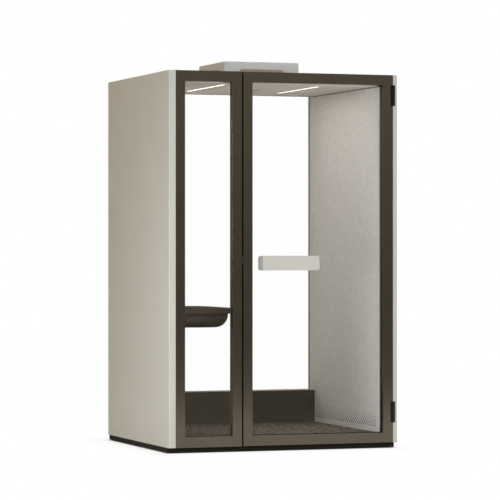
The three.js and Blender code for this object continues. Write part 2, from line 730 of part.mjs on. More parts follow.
/** Rear wall: glazed frame over a kick panel with the air intake, and the duct cover inside. */
function buildRearWall() {
  const group = section('rear_wall');
  const depth = [rearFace, cabinDepth];
  const height = [frameBottom, cabinTop];
  const stileSpan = [rearReturn + seam, rearReturn + stileWidth];
  const openingX = [stileSpan[1], cabinWidth - stileSpan[1]];
  const openingZ = [rearSillTop, cabinTop - railHeight];
  const railWidth = inset(openingX, seam);
  const sillBottom = rearSillTop - railHeight;
  const glassFront = rearFace + glassSetback;
  piece(group, 'rear_left_stile', stile(stileSpan, depth, height), finishes.shellPaint);
  piece(group, 'rear_right_stile', stile(mirrored(stileSpan), depth, height), finishes.shellPaint);
  piece(group, 'rear_top_rail', rail(railWidth, depth, [openingZ[1], cabinTop]), finishes.shellPaint);
  piece(group, 'rear_sill_rail', rail(railWidth, depth, [sillBottom, rearSillTop]), finishes.shellPaint);
  buildGlazing(group, 'rear', openingX, openingZ, [glassFront, glassFront + glassThickness]);
  const kickDepth = [cabinDepth - kickPanelThickness, cabinDepth];
  const kickHeight = [frameBottom, sillBottom - seam];
  const inletX = about(cabinWidth - inletFromSide, inletWidth);
  const inletZ = about(inletCentreHeight, inletHeight);
  const inletHole = block(inset(inletX, -seam), inset(kickDepth, -overshoot), inset(inletZ, -seam));
  const slots = intakeSlots(kickDepth, kickHeight);
  const kickPanel = cut(block(railWidth, kickDepth, kickHeight), inletHole, ...slots);
  piece(group, 'rear_kick_panel', kickPanel, finishes.framePaint);
  piece(group, 'power_inlet', inletShape(inletX, inletZ), finishes.blackPlastic);
  const ductBottom = deckTop + seam;
  const ductLid = rearSillTop - ductSheet;
  const ductProfile = polygon([[ductFront, ductBottom], [ductFront + ductSheet, ductBottom],
    [ductFront + ductSheet, ductLid], [liningRear, ductLid], [liningRear, rearSillTop],
    [ductFront, rearSillTop]]);
  const ductWidth = inset([wallThickness, cabinWidth - wallThickness], seam);
  piece(group, 'rear_duct_cover', sideways(ductProfile, ductWidth), finishes.framePaint);
}

/** Mains inlet, flush with the kick panel, with a recess for the plug. */
function inletShape(spanX, spanZ) {
  const bottom = cabinDepth - inletDepth;
  const body = block(spanX, [bottom, cabinDepth], spanZ);
  const recessDepth = [bottom + inletWall, cabinDepth + overshoot];
  return cut(body, block(inset(spanX, inletWall), recessDepth, inset(spanZ, inletWall)));
}

/** Ventilation unit: a round-edged hood with an arched air slot on each side, over the fan. */
function buildVentilation() {
  const group = section('ventilation');
  const fanTop = ventBottom + fanHeight;
  const spiderBottom = fanTop - fanSpiderThickness;
  const shaftBottom = spiderBottom - fanShaftLength;
  piece(group, 'vent_housing', ventHousing(), finishes.ventPaint);
  piece(group, 'vent_fan_frame', fanFrame(fanTop, spiderBottom, shaftBottom), finishes.blackPlastic);
  piece(group, 'vent_fan_rotor', fanRotor(spiderBottom, shaftBottom), finishes.blackPlastic);
}

/** Hood with an open underside. */
function ventHousing() {
  const [spanX, spanY] = ventCentre.map((middle) => about(middle, ventSize));
  const bevel = {
    depth: ventTop - ventBottom,
    bevelThickness: ventEdgeRadius,
    bevelSize: ventEdgeRadius,
    bevelOffset: -ventEdgeRadius,
    bevelSegments: edgeSteps,
    curveSegments: arcSteps,
  };
  const lump = new THREE.ExtrudeGeometry(evenRect(spanX, spanY, ventCornerRadius), bevel);
  lump.translate(0, 0, ventBottom - ventEdgeRadius);
  const keep = block(inset(spanX, -overshoot), inset(spanY, -overshoot), [ventBottom, ventTop]);
  const inner = evenRect(inset(spanX, ventWall), inset(spanY, ventWall), ventCornerRadius - ventWall);
  const hollow = prism(inner, [ventBottom - overshoot, ventTop - ventEdgeRadius]);
  const slotZ = [ventBottom - overshoot, ventBottom + ventSlotHeight];
  const arches = ventCentre.map((middle) => roundedRect(about(middle, ventSlotWidth), slotZ,
    [0, 0, ventSlotRadius, ventSlotRadius]));
  const frontSlot = upright(arches[0], inset(spanY, -overshoot));
  const sideSlot = sideways(arches[1], inset(spanX, -overshoot));
  return cut(common(lump, keep), hollow, frontSlot, sideSlot);
}

/** Square fan frame with a round bore, and a spider that carries the motor disc and the shaft. */
function fanFrame(top, spiderBottom, shaftBottom) {
  const [spanX, spanY] = ventCentre.map((middle) => about(middle, fanFrameWidth));
  const [reachX, reachY] = ventCentre.map((middle) => about(middle, fanFrameWidth - fanFrameWall));
  const [armX, armY] = ventCentre.map((middle) => about(middle, fanSpiderWidth));
  const height = [ventBottom, top];
  const bore = column(fanBoreRadius, ventCentre, inset(height, -overshoot), roundSides * 2);
  const ring = cut(block(spanX, spanY, height), bore);
  const spiderHeight = [spiderBottom, top];
  const motor = column(fanMotorRadius, ventCentre, spiderHeight);
  const shaft = column(fanShaftRadius, ventCentre, [shaftBottom, top]);
  return join(ring, block(reachX, armY, spiderHeight), block(armX, reachY, spiderHeight), motor, shaft);
}

/** Fan wheel: a hub with a bore for the shaft, and pitched blades about it. */
function fanRotor(spiderBottom, shaftBottom) {
  const hubTop = spiderBottom - fanShaftGap;
  const hubHeight = [hubTop - fanHubHeight, hubTop];
  const bladeRoot = fanMotorRadius - fanBladeThickness;
  const bladeTip = fanBoreRadius - fanTipGap;
  const middle = [...ventCentre, (hubHeight[0] + hubHeight[1]) / 2];
  let wheel = column(fanMotorRadius, ventCentre, hubHeight);
  for (let i = 0; i < fanBladeCount; i += 1) {
    const blade = block([bladeRoot, bladeTip], about(0, fanBladeChord), about(0, fanBladeThickness));
    blade.rotateX(THREE.MathUtils.degToRad(fanBladePitch));
    blade.rotateZ((i / fanBladeCount) * Math.PI * 2).translate(...middle);
    wheel = join(wheel, blade);
  }
  const boreHeight = [shaftBottom - fanShaftGap, hubTop + overshoot];
  return cut(wheel, column(fanShaftRadius + fanShaftGap, ventCentre, boreHeight));
}

/** Desk slab on the left wall, and the hollow console under it. */
function buildDesk() {
  const group = section('desk');
  const slabBottom = deskTop - deskThickness;
  const slabX = [wallThickness + seam, wallThickness + deskReach];
  const slabY = [deskFrontDistance, deskRear];
  const slab = roundedRect(slabX, slabY, [0, deskCornerRadius, deskCornerRadius, 0]);
  piece(group, 'desk_top', prism(slab, [slabBottom, deskTop]), finishes.deskLaminate);
  const consoleTop = slabBottom - seam;
  const height = [consoleTop - consoleDepth, consoleTop];
  const outer = consoleShape(inset(slabY, consoleSetIn), height, 0);
  const room = consoleShape(inset(slabY, consoleSetIn), [height[0], consoleTop + overshoot], consoleWall);
  piece(group, 'desk_console', cut(outer, room), finishes.deskLaminate);
}

/** Console body, round at its lower edges and user-side corners, drawn in by a wall. */
function consoleShape(spanY, [bottom, top], wall) {
  const corner = consoleCornerRadius - wall;
  const edge = Math.min(consoleEdgeRadius, consoleCornerRadius) - wall;
  const wallFace = wallThickness + seam;
  const userSide = wallThickness + consoleReach;
  const planX = [wallFace - 2 * consoleCornerRadius, userSide - wall];
  const bevel = {
    depth: top - bottom,
    bevelThickness: edge,
    bevelSize: edge,
    bevelOffset: -edge,
    bevelSegments: edgeSteps,
    curveSegments: arcSteps,
  };
  const lump = new THREE.ExtrudeGeometry(evenRect(planX, inset(spanY, wall), corner), bevel);
  lump.translate(0, 0, bottom + wall + edge);
  const keep = block([wallFace + wall, userSide + overshoot], inset(spanY, -overshoot), [bottom, top]);
  return common(lump, keep);
}

/** Control plate on the left lining over the desk, with a push button that switches light and fan. */
function buildControl() {
  const group = section('control');
  const pocketFloor = wallThickness + seam + controlBack;
  const buttonBack = pocketFloor + buttonGap + buttonTravel;
  const face = buttonBack + buttonInside;
  const spanY = about((deskFrontDistance + deskRear) / 2, controlWidth);
  const spanZ = [deskTop + controlAboveDesk, deskTop + controlAboveDesk + controlHeight];
  const buttonPlace = [spanY[0] + buttonFromEdge, spanZ[0] + controlHeight / 2];
  const outline = evenRect(spanY, spanZ, controlCornerRadius);
  const plate = sideways(outline, [wallThickness + seam, face]);
  const pocket = crossBar(buttonRadius + buttonGap, buttonPlace, [pocketFloor, face + overshoot]);
  const button = crossBar(buttonRadius, buttonPlace, [buttonBack, face + buttonProud]);
  piece(group, 'control_plate', cut(plate, pocket), finishes.blackPlastic);
  piece(group, 'control_button', button, finishes.lightPaint);
}

buildBase();
buildWalls();
buildFloor();
buildRoof();
buildFixedWindow();
buildDoorway();
buildDoor();
buildHinges();
buildCatch();
buildRearWall();
buildVentilation();
buildDesk();
buildControl();

export default pod;
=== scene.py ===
"""Looks of a one-person acoustic office pod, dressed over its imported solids."""

import logging
import math
from dataclasses import dataclass
from enum import Enum
from typing import Any, Iterable, Optional

import bmesh
import bpy
from mathutils import Matrix, Vector, noise


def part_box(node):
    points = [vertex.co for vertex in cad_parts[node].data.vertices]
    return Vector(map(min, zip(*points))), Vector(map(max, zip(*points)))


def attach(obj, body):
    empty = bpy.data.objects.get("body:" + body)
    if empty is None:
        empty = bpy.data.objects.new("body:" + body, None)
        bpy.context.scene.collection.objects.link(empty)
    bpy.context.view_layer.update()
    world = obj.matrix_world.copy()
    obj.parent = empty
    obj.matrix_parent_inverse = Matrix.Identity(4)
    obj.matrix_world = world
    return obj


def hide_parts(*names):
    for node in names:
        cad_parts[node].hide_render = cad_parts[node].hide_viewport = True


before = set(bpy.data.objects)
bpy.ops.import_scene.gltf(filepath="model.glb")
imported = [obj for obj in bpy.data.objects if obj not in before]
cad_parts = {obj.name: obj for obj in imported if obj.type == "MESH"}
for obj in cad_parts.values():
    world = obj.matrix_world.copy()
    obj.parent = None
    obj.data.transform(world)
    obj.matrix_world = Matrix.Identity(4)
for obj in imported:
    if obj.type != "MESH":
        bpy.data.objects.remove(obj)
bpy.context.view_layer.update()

LOG = logging.getLogger("pod")
MM = 0.001


class Body(Enum):
    """The moving bodies of the pod."""

    CABIN = "cabin"
    DOOR = "door"
    FAN = "fan_wheel"
    BUTTON = "push_button"


class Side(Enum):
    """The two long walls, by the sign of their place along the width."""

    LEFT = -1
    RIGHT = 1


def linear(code: str) -> tuple[float, float, float, float]:
    """Turns an sRGB hex colour into linear light.

    Args:
        code: Colour as "#rrggbb".

    Returns:
        Red, green, blue and alpha, each from 0 to 1.
    """
    parts = [int(code[i:i + 2], 16) / 255 for i in (1, 3, 5)]
    light = [p / 12.92 if p <= 0.04045 else ((p + 0.055) / 1.055) ** 2.4 for p in parts]
    return (light[0], light[1], light[2], 1.0)


def per_metre(size_mm: float) -> float:
    """Gives the texture scale at which one feature of a pattern is size_mm wide."""
    return 1000.0 / size_mm


def add_node(
    tree: bpy.types.NodeTree,
    kind: str,
    links: Optional[dict[Any, bpy.types.NodeSocket]] = None,
    values: Optional[dict[Any, Any]] = None,
    **settings: Any,
) -> bpy.types.Node:
    """Adds one node with its settings, input values and incoming links.

    Args:
        tree: Node tree of the material or world.
        kind: Blender's name of the node's type.
        links: Input name or number, and the socket that feeds it.
        values: Input name or number, and its plain value.
        **settings: Properties of the node itself.

    Returns:
        The new node.
    """
    node = tree.nodes.new(kind)
    for key, value in settings.items():
        setattr(node, key, value)
    for key, value in (values or {}).items():
        node.inputs[key].default_value = value
    for key, source in (links or {}).items():
        tree.links.new(source, node.inputs[key])
    return node


@dataclass(frozen=True)
class Finish:
    """A real surface: what it is made of and how it meets the light."""

    name: str
    colour: str
    roughness: float

    def material(self) -> bpy.types.Material:
        """Makes the material the first time and hands out the same one after that.

        Returns:
            The node material of this finish.
        """
        found = bpy.data.materials.get(self.name)
        if found is not None:
            return found
        made = bpy.data.materials.new(self.name)
        made.use_nodes = True
        tree = made.node_tree
        tree.nodes.clear()
        place = add_node(tree, "ShaderNodeTexCoord").outputs["Object"]
        shader = self.surface(tree, place)
        add_node(tree, "ShaderNodeOutputMaterial", {"Surface": shader})
        made.diffuse_color = linear(self.colour)
        return made

    def surface(self, tree: bpy.types.NodeTree, place: bpy.types.NodeSocket) -> bpy.types.NodeSocket:
        """Builds the shader.

        Args:
            tree: Node tree to build in.
            place: Object coordinates, in metres.

        Returns:
            The shader's output.
        """
        raise NotImplementedError


@dataclass(frozen=True)
class BakedPowder(Finish):
    """Powder coat baked on metal: an even colour with the faint skin of melted grains."""

    deep: str = "#000000"
    cloud_mm: float = 260.0
    skin_mm: float = 7.0
    skin_height: float = 0.05
    gloss_spread: float = 0.06
    specular: float = 0.5

    def surface(self, tree: bpy.types.NodeTree, place: bpy.types.NodeSocket) -> bpy.types.NodeSocket:
        """Builds the coat: colour clouds, a rippled skin and a gloss that follows it."""
        cloud = add_node(tree, "ShaderNodeTexNoise", {"Vector": place},
                         {"Scale": per_metre(self.cloud_mm), "Detail": 4.0, "Roughness": 0.6})
        spread = add_node(tree, "ShaderNodeMapRange", {"Value": cloud.outputs["Fac"]},
                          {"From Min": 0.32, "From Max": 0.68})
        skin = add_node(tree, "ShaderNodeTexNoise", {"Vector": place},
                        {"Scale": per_metre(self.skin_mm), "Detail": 2.0, "Roughness": 0.5})
        grain = add_node(tree, "ShaderNodeMapRange", {"Value": skin.outputs["Fac"]},
                         {"From Min": 0.3, "From Max": 0.7, "To Min": 0.35, "To Max": 0.65})
        both = add_node(tree, "ShaderNodeMath", {0: spread.outputs["Result"], 1: grain.outputs["Result"]},
                        operation="MULTIPLY")
        share = add_node(tree, "ShaderNodeMapRange", {"Value": both.outputs["Value"]},
                         {"From Min": 0.0, "From Max": 0.65})
        tone = add_node(tree, "ShaderNodeMix", {"Factor": share.outputs["Result"]},
                        {6: linear(self.deep), 7: linear(self.colour)}, data_type="RGBA")
        gloss = add_node(tree, "ShaderNodeMapRange", {"Value": skin.outputs["Fac"]},
                         {"From Min": 0.3, "From Max": 0.7, "To Min": self.roughness - self.gloss_spread,
                          "To Max": self.roughness + self.gloss_spread})
        relief = add_node(tree, "ShaderNodeBump", {"Height": skin.outputs["Fac"]},
                          {"Strength": self.skin_height, "Distance": 0.3 * MM})
        coat = add_node(tree, "ShaderNodeBsdfPrincipled",
                        {"Base Color": tone.outputs[2], "Roughness": gloss.outputs["Result"],
                         "Normal": relief.outputs["Normal"]},
                        {"Specular IOR Level": self.specular})
        return coat.outputs["BSDF"]


@dataclass(frozen=True)
class AnodisedAluminium(Finish):
    """Blasted and anodised aluminium: a satin metal with a dyed skin and an even, very fine grain."""

    deep: str = "#000000"
    grain_mm: float = 4.0
    dye_mm: float = 320.0
    metal: float = 0.9

    def surface(self, tree: bpy.types.NodeTree, place: bpy.types.NodeSocket) -> bpy.types.NodeSocket:
        """Builds the metal: the blasted grain in gloss and relief, slow clouds of the dye in tone."""
        grain = add_node(tree, "ShaderNodeTexNoise", {"Vector": place},
                         {"Scale": per_metre(self.grain_mm), "Detail": 4.0, "Roughness": 0.65})
        dye = add_node(tree, "ShaderNodeTexNoise", {"Vector": place},
                       {"Scale": per_metre(self.dye_mm), "Detail": 2.0})
        both = add_node(tree, "ShaderNodeMath", {0: grain.outputs["Fac"], 1: dye.outputs["Fac"]}, operation="ADD")
        share = add_node(tree, "ShaderNodeMapRange", {"Value": both.outputs["Value"]},
                         {"From Min": 0.7, "From Max": 1.3})
        tone = add_node(tree, "ShaderNodeMix", {"Factor": share.outputs["Result"]},
                        {6: linear(self.deep), 7: linear(self.colour)}, data_type="RGBA")
        gloss = add_node(tree, "ShaderNodeMapRange", {"Value": grain.outputs["Fac"]},
                         {"From Min": 0.3, "From Max": 0.7, "To Min": self.roughness - 0.02,
                          "To Max": self.roughness + 0.02})
        relief = add_node(tree, "ShaderNodeBump", {"Height": grain.outputs["Fac"]},
                          {"Strength": 0.01, "Distance": 0.2 * MM})
        skin = add_node(tree, "ShaderNodeBsdfPrincipled",
                        {"Base Color": tone.outputs[2], "Roughness": gloss.outputs["Result"],
                         "Normal": relief.outputs["Normal"]},
                        {"Metallic": self.metal})
        return skin.outputs["BSDF"]


@dataclass(frozen=True)
class NeedledFelt(Finish):
    """Needled polyester felt: matt, mottled by tufts of two greys, with a soft bloom at a low angle."""

    dark_fibre: str = "#000000"
    tuft_mm: float = 22.0
    fibre_mm: float = 2.6
    lay: float = 1.0
    relief: float = 0.3

    def surface(self, tree: bpy.types.NodeTree, place: bpy.types.NodeSocket) -> bpy.types.NodeSocket:
        """Builds the felt: fibres that lie along the roll, over small tufts, and the relief of the fibres."""
        run = add_node(tree, "ShaderNodeMapping", {"Vector": place}, {"Scale": (1.0, self.lay, 1.0)})
        fibres = add_node(tree, "ShaderNodeTexNoise", {"Vector": run.outputs["Vector"]},
                          {"Scale": per_metre(self.fibre_mm), "Detail": 3.0, "Roughness": 0.6, "Distortion": 0.4})
        tufts = add_node(tree, "ShaderNodeTexNoise", {"Vector": run.outputs["Vector"]},
                         {"Scale": per_metre(self.tuft_mm), "Detail": 3.0, "Roughness": 0.6})
        total = add_node(tree, "ShaderNodeMath", {0: tufts.outputs["Fac"], 2: fibres.outputs["Fac"]}, {1: 0.25},
                         operation="MULTIPLY_ADD")
        share = add_node(tree, "ShaderNodeMapRange", {"Value": total.outputs["Value"]},
                         {"From Min": 0.425, "From Max": 0.825})
        tone = add_node(tree, "ShaderNodeMix", {"Factor": share.outputs["Result"]},
                        {6: linear(self.dark_fibre), 7: linear(self.colour)}, data_type="RGBA")
        relief = add_node(tree, "ShaderNodeBump", {"Height": fibres.outputs["Fac"]},
                          {"Strength": self.relief, "Distance": 0.8 * MM})
        cloth = add_node(tree, "ShaderNodeBsdfPrincipled",
                         {"Base Color": tone.outputs[2], "Normal": relief.outputs["Normal"]},
                         {"Roughness": self.roughness, "Specular IOR Level": 0.15,
                          "Sheen Weight": 0.12, "Sheen Roughness": 0.6})
        return cloth.outputs["BSDF"]


@dataclass(frozen=True)
class LoopPile(Finish):
    """Loop-pile carpet tile: rows of short loops in brown, grey and near-black yarn, with broken streaks of tone."""

    dark_yarn: str = "#000000"
    light_yarn: str = "#ffffff"
    loop_mm: float = 6.0
    streak_mm: float = 7.0
    streak_length: float = 2.8
    drift_mm: float = 160.0

    def surface(self, tree: bpy.types.NodeTree, place: bpy.types.NodeSocket) -> bpy.types.NodeSocket:
        """Builds the carpet: streaks along the rows take one of three yarns, and each loop has its own shade."""
        rows = add_node(tree, "ShaderNodeMapping", {"Vector": place}, {"Scale": (1.0, 1.0 / self.streak_length, 1.0)})
        streaks = add_node(tree, "ShaderNodeTexVoronoi", {"Vector": rows.outputs["Vector"]},
                           {"Scale": per_metre(self.streak_mm), "Randomness": 1.0})
        loops = add_node(tree, "ShaderNodeTexVoronoi", {"Vector": place},
                         {"Scale": per_metre(self.loop_mm), "Randomness": 0.7})
        pick = add_node(tree, "ShaderNodeSeparateColor", {"Color": streaks.outputs["Color"]})
        yarns = add_node(tree, "ShaderNodeValToRGB", {"Fac": pick.outputs["Red"]})
        yarns.color_ramp.elements[0].color = linear(self.dark_yarn)
        yarns.color_ramp.elements[1].color = linear(self.light_yarn)
        yarns.color_ramp.elements.new(0.5).color = linear(self.colour)
        lone = add_node(tree, "ShaderNodeSeparateColor", {"Color": loops.outputs["Color"]})
        drift = add_node(tree, "ShaderNodeTexNoise", {"Vector": place},
                         {"Scale": per_metre(self.drift_mm), "Detail": 3.0})
        sum_ = add_node(tree, "ShaderNodeMath", {0: lone.outputs["Green"], 1: drift.outputs["Fac"]}, operation="ADD")
        shade = add_node(tree, "ShaderNodeMapRange", {"Value": sum_.outputs["Value"]},
                         {"From Min": 0.4, "From Max": 1.6, "To Min": 0.72, "To Max": 1.24})
        tone = add_node(tree, "ShaderNodeMix",
                        {6: yarns.outputs["Color"], 7: shade.outputs["Result"]},
                        {"Factor": 1.0}, data_type="RGBA", blend_type="MULTIPLY")
        relief = add_node(tree, "ShaderNodeBump", {"Height": loops.outputs["Distance"]},
                          {"Strength": 0.6, "Distance": 1.5 * MM}, invert=True)
        pile = add_node(tree, "ShaderNodeBsdfPrincipled",
                        {"Base Color": tone.outputs[2], "Normal": relief.outputs["Normal"]},
                        {"Roughness": self.roughness, "Specular IOR Level": 0.02})
        return pile.outputs["BSDF"]


@dataclass(frozen=True)
class FacedBoard(Finish):
    """Faced board: a matt decor layer with fine grain along the board and a slightly pebbled press mark."""

    deep: str = "#000000"
    grain_mm: float = 6.0
    grain_length: float = 26.0
    along: tuple[float, float, float] = (0.0, 1.0, 0.0)
    relief: float = 0.12
    specular: float = 0.4

    def surface(self, tree: bpy.types.NodeTree, place: bpy.types.NodeSocket) -> bpy.types.NodeSocket:
        """Builds the board: long grain lines with a pressed pore texture."""
        squeeze = tuple(1.0 / self.grain_length if a else 1.0 for a in self.along)
        run = add_node(tree, "ShaderNodeMapping", {"Vector": place}, {"Scale": squeeze})
        lines = add_node(tree, "ShaderNodeTexNoise", {"Vector": run.outputs["Vector"]},
                         {"Scale": per_metre(self.grain_mm), "Detail": 4.0, "Roughness": 0.6,
                          "Distortion": 0.3})
        share = add_node(tree, "ShaderNodeMapRange", {"Value": lines.outputs["Fac"]},
                         {"From Min": 0.34, "From Max": 0.66})
        tone = add_node(tree, "ShaderNodeMix", {"Factor": share.outputs["Result"]},
                        {6: linear(self.deep), 7: linear(self.colour)}, data_type="RGBA")
        gloss = add_node(tree, "ShaderNodeMapRange", {"Value": lines.outputs["Fac"]},
                         {"From Min": 0.3, "From Max": 0.7, "To Min": self.roughness + 0.06,
                          "To Max": self.roughness - 0.04})
        relief = add_node(tree, "ShaderNodeBump", {"Height": lines.outputs["Fac"]},
                          {"Strength": self.relief, "Distance": 0.3 * MM})
        face = add_node(tree, "ShaderNodeBsdfPrincipled",
                        {"Base Color": tone.outputs[2], "Roughness": gloss.outputs["Result"],
                         "Normal": relief.outputs["Normal"]},
                        {"Specular IOR Level": self.specular})
        return face.outputs["BSDF"]


@dataclass(frozen=True)
class MouldedPlastic(Finish):
    """Moulded plastic with an etched grain: tiny pebbles that break up the highlight."""

    deep: str = "#000000"
    pebble_mm: float = 2.5
    relief: float = 0.1
    specular: float = 0.5

    def surface(self, tree: bpy.types.NodeTree, place: bpy.types.NodeSocket) -> bpy.types.NodeSocket:
        """Builds the plastic: a pebbled skin, with a faint flow of tone under it."""
        pebbles = add_node(tree, "ShaderNodeTexVoronoi", {"Vector": place},
                           {"Scale": per_metre(self.pebble_mm), "Smoothness": 0.6}, feature="SMOOTH_F1")
        flow = add_node(tree, "ShaderNodeTexNoise", {"Vector": place},
                        {"Scale": per_metre(90.0), "Detail": 3.0})
        share = add_node(tree, "ShaderNodeMapRange", {"Value": flow.outputs["Fac"]},
                         {"From Min": 0.3, "From Max": 0.7})
        tone = add_node(tree, "ShaderNodeMix", {"Factor": share.outputs["Result"]},
                        {6: linear(self.deep), 7: linear(self.colour)}, data_type="RGBA")
        gloss = add_node(tree, "ShaderNodeMapRange", {"Value": pebbles.outputs["Distance"]},
                         {"From Min": 0.0, "From Max": 0.8, "To Min": self.roughness - 0.05,
                          "To Max": self.roughness + 0.08})
        relief = add_node(tree, "ShaderNodeBump", {"Height": pebbles.outputs["Distance"]},
                          {"Strength": self.relief, "Distance": 0.2 * MM}, invert=True)
        shell = add_node(tree, "ShaderNodeBsdfPrincipled",
                         {"Base Color": tone.outputs[2], "Roughness": gloss.outputs["Result"],
                          "Normal": relief.outputs["Normal"]},
                         {"Specular IOR Level": self.specular})
        return shell.outputs["BSDF"]


@dataclass(frozen=True)
class BrushedSteel(Finish):
    """Brushed stainless steel: bright metal with fine lines that stretch the highlight."""

    line_mm: float = 0.8

    def surface(self, tree: bpy.types.NodeTree, place: bpy.types.NodeSocket) -> bpy.types.NodeSocket:
        """Builds the steel: lines along the height in gloss and tone."""
        run = add_node(tree, "ShaderNodeMapping", {"Vector": place}, {"Scale": (1.0, 1.0, 0.04)})
        lines = add_node(tree, "ShaderNodeTexNoise", {"Vector": run.outputs["Vector"]},
                         {"Scale": per_metre(self.line_mm), "Detail": 2.0})
        gloss = add_node(tree, "ShaderNodeMapRange", {"Value": lines.outputs["Fac"]},
                         {"From Min": 0.3, "From Max": 0.7, "To Min": self.roughness - 0.08,
                          "To Max": self.roughness + 0.12})
        tone = add_node(tree, "ShaderNodeMix", {"Factor": lines.outputs["Fac"]},
                        {6: linear("#8f8e8b"), 7: linear(self.colour)}, data_type="RGBA")
        metal = add_node(tree, "ShaderNodeBsdfPrincipled",
                         {"Base Color": tone.outputs[2], "Roughness": gloss.outputs["Result"]},
                         {"Metallic": 1.0})
        return metal.outputs["BSDF"]


@dataclass(frozen=True)
class CoatedGlass(Finish):
    """Laminated low-iron glass with a low-reflection coat: nearly unseen, with a weak clear mirror image."""

    ior: float = 1.12

    def surface(self, tree: bpy.types.NodeTree, place: bpy.types.NodeSocket) -> bpy.types.NodeSocket:
        """Builds the glass, open to the rays that look for lamps, so that the room behind it is lit."""
        pane = add_node(tree, "ShaderNodeBsdfPrincipled", None,
                        {"Base Color": linear(self.colour), "Roughness": self.roughness,
                         "IOR": self.ior, "Transmission Weight": 1.0})
        clear = add_node(tree, "ShaderNodeBsdfTransparent", None, {"Color": linear(self.colour)})
        path = add_node(tree, "ShaderNodeLightPath")
        mixed = add_node(tree, "ShaderNodeMixShader",
                         {0: path.outputs["Is Shadow Ray"], 1: pane.outputs["BSDF"],
                          2: clear.outputs["BSDF"]})
        return mixed.outputs["Shader"]


@dataclass(frozen=True)
class OpalDiffuser(Finish):
    """Opal acrylic over a row of light diodes: an even white glow."""

    glow: float = 1.5

    def surface(self, tree: bpy.types.NodeTree, place: bpy.types.NodeSocket) -> bpy.types.NodeSocket:
        """Builds the lit acrylic, with a faint rhythm of the diodes behind it."""
        run = add_node(tree, "ShaderNodeMapping", {"Vector": place}, {"Scale": (0.0, 1.0, 0.0)})
        diodes = add_node(tree, "ShaderNodeTexWave", {"Vector": run.outputs["Vector"]},
                          {"Scale": per_metre(16.0) / 20.0}, wave_type="BANDS", bands_direction="Y")
        glow = add_node(tree, "ShaderNodeMapRange", {"Value": diodes.outputs["Fac"]},
                        {"To Min": 0.9 * self.glow, "To Max": self.glow})
        acrylic = add_node(tree, "ShaderNodeBsdfPrincipled",
                           {"Emission Strength": glow.outputs["Result"]},
                           {"Base Color": linear(self.colour), "Roughness": self.roughness,
                            "Emission Color": linear("#fefdfb")})
        return acrylic.outputs["BSDF"]


# Powder-coated steel in sand: even and soft, so the long sides shade from light to dark without a glint.
SAND_STEEL = BakedPowder("sand_powder_coated_steel", "#c9c6bd", 0.6, deep="#c6c2b8", specular=0.3)
# Anodised aluminium in dark bronze: a dark satin metal that picks up the pale floor near its foot.
BRONZE_ALUMINIUM = AnodisedAluminium("bronze_anodised_aluminium", "#726757", 0.2, deep="#6d6253")
# Black-oxide steel with an oil film: deep black with a dull sheen.
BLACK_STEEL = BakedPowder("black_oxide_steel", "#15130f", 0.45, deep="#0f0e0b", cloud_mm=40.0,
                          skin_mm=3.0, specular=0.4)
# Lacquered cast aluminium in light grey: smooth and satin, with crisp edges.
GREY_CASTING = BakedPowder("grey_lacquered_casting", "#cfcbc3", 0.42, deep="#cac6be", cloud_mm=120.0,
                           skin_mm=5.0, skin_height=0.03)
# Needled polyester felt: warm grey, matt, mottled.
WALL_FELT = NeedledFelt("needled_polyester_felt", "#d4cfc8", 0.95, dark_fibre="#aca79f", lay=0.4)
# Front end face of the felt board in a paler felt: painted light on an edge that gets less light than the wall face.
LIGHTENED_FELT_EDGE = NeedledFelt("felt_edge_painted_light", "#e2e0dc", 0.95, dark_fibre="#d4d1cc")
# Felt on the walls of the air holes, dark brown: painted shade inside the holes.
HOLE_SHADE_FELT = NeedledFelt("felt_hole_painted_shade", "#4b4136", 1.0, dark_fibre="#362e25", tuft_mm=4.0, fibre_mm=2.0)
# Painted mineral fibre: matt and faintly speckled by its surface fleece.
CEILING_FLEECE = NeedledFelt("painted_fibre_ceiling", "#cdc1b0", 0.9, dark_fibre="#bfb3a2",
                             tuft_mm=40.0, fibre_mm=9.0, relief=0.15)
# Mineral wool behind the walls: loose and dull; its dark brown is partly the wool's own, partly painted shade for the
# backs of the air holes.
DARKENED_WOOL_CORE = NeedledFelt("mineral_wool_with_painted_shade", "#5d5449", 1.0, dark_fibre="#443c33")
# Loop-pile carpet of mixed yarns; loops and streaks are drawn about twice too coarse, so that they show from afar.
CARPET = LoopPile("loop_pile_carpet", "#665d52", 1.0, dark_yarn="#443d33", light_yarn="#978c7d")
# Melamine-faced desk board in dark brown: matt, with faint long grain.
DESK_MELAMINE = FacedBoard("brown_melamine_desk", "#4e463b", 0.85, deep="#4b4338", relief=0.04, specular=0.03)
# Plinth of faced board, almost black.
PLINTH_BOARD = FacedBoard("black_faced_board", "#29241c", 0.8, deep="#241f18", along=(1.0, 0.0, 0.0),
                          specular=0.1)
# Dark faced board of the duct box: matt brown.
DUCT_BOARD = FacedBoard("brown_faced_board", "#534c40", 0.8, deep="#50493d", along=(1.0, 0.0, 0.0),
                        relief=0.05, specular=0.08)
# Birch plywood under the carpet: pale wood with long grain.
DECK_PLYWOOD = FacedBoard("birch_plywood", "#b49a76", 0.6, deep="#a1855f")
# Faced roof board in sand, seen only from above.
ROOF_BOARD = FacedBoard("sand_faced_board", "#c0baad", 0.55, deep="#bdb6a8", along=(1.0, 0.0, 0.0),
                        relief=0.05)
# Moulded desk tray in dark brown plastic: soft satin with an etched grain.
TRAY_PLASTIC = MouldedPlastic("brown_moulded_tray", "#463d30", 0.5, deep="#40382c", specular=0.3)
# Light grey ABS of the roof hood: satin, evenly pebbled.
HOOD_PLASTIC = MouldedPlastic("grey_moulded_hood", "#dddde0", 0.5, deep="#d7d7da", pebble_mm=3.0)
# Black moulded plastic with an etched grain.
BLACK_PLASTIC = MouldedPlastic("black_moulded_plastic", "#1d1c1a", 0.5, deep="#181715")
# Moulded grille in the ceiling's own tone.
GRILLE_PLASTIC = MouldedPlastic("ceiling_tone_plastic", "#c6baa9", 0.55, deep="#beb2a1")
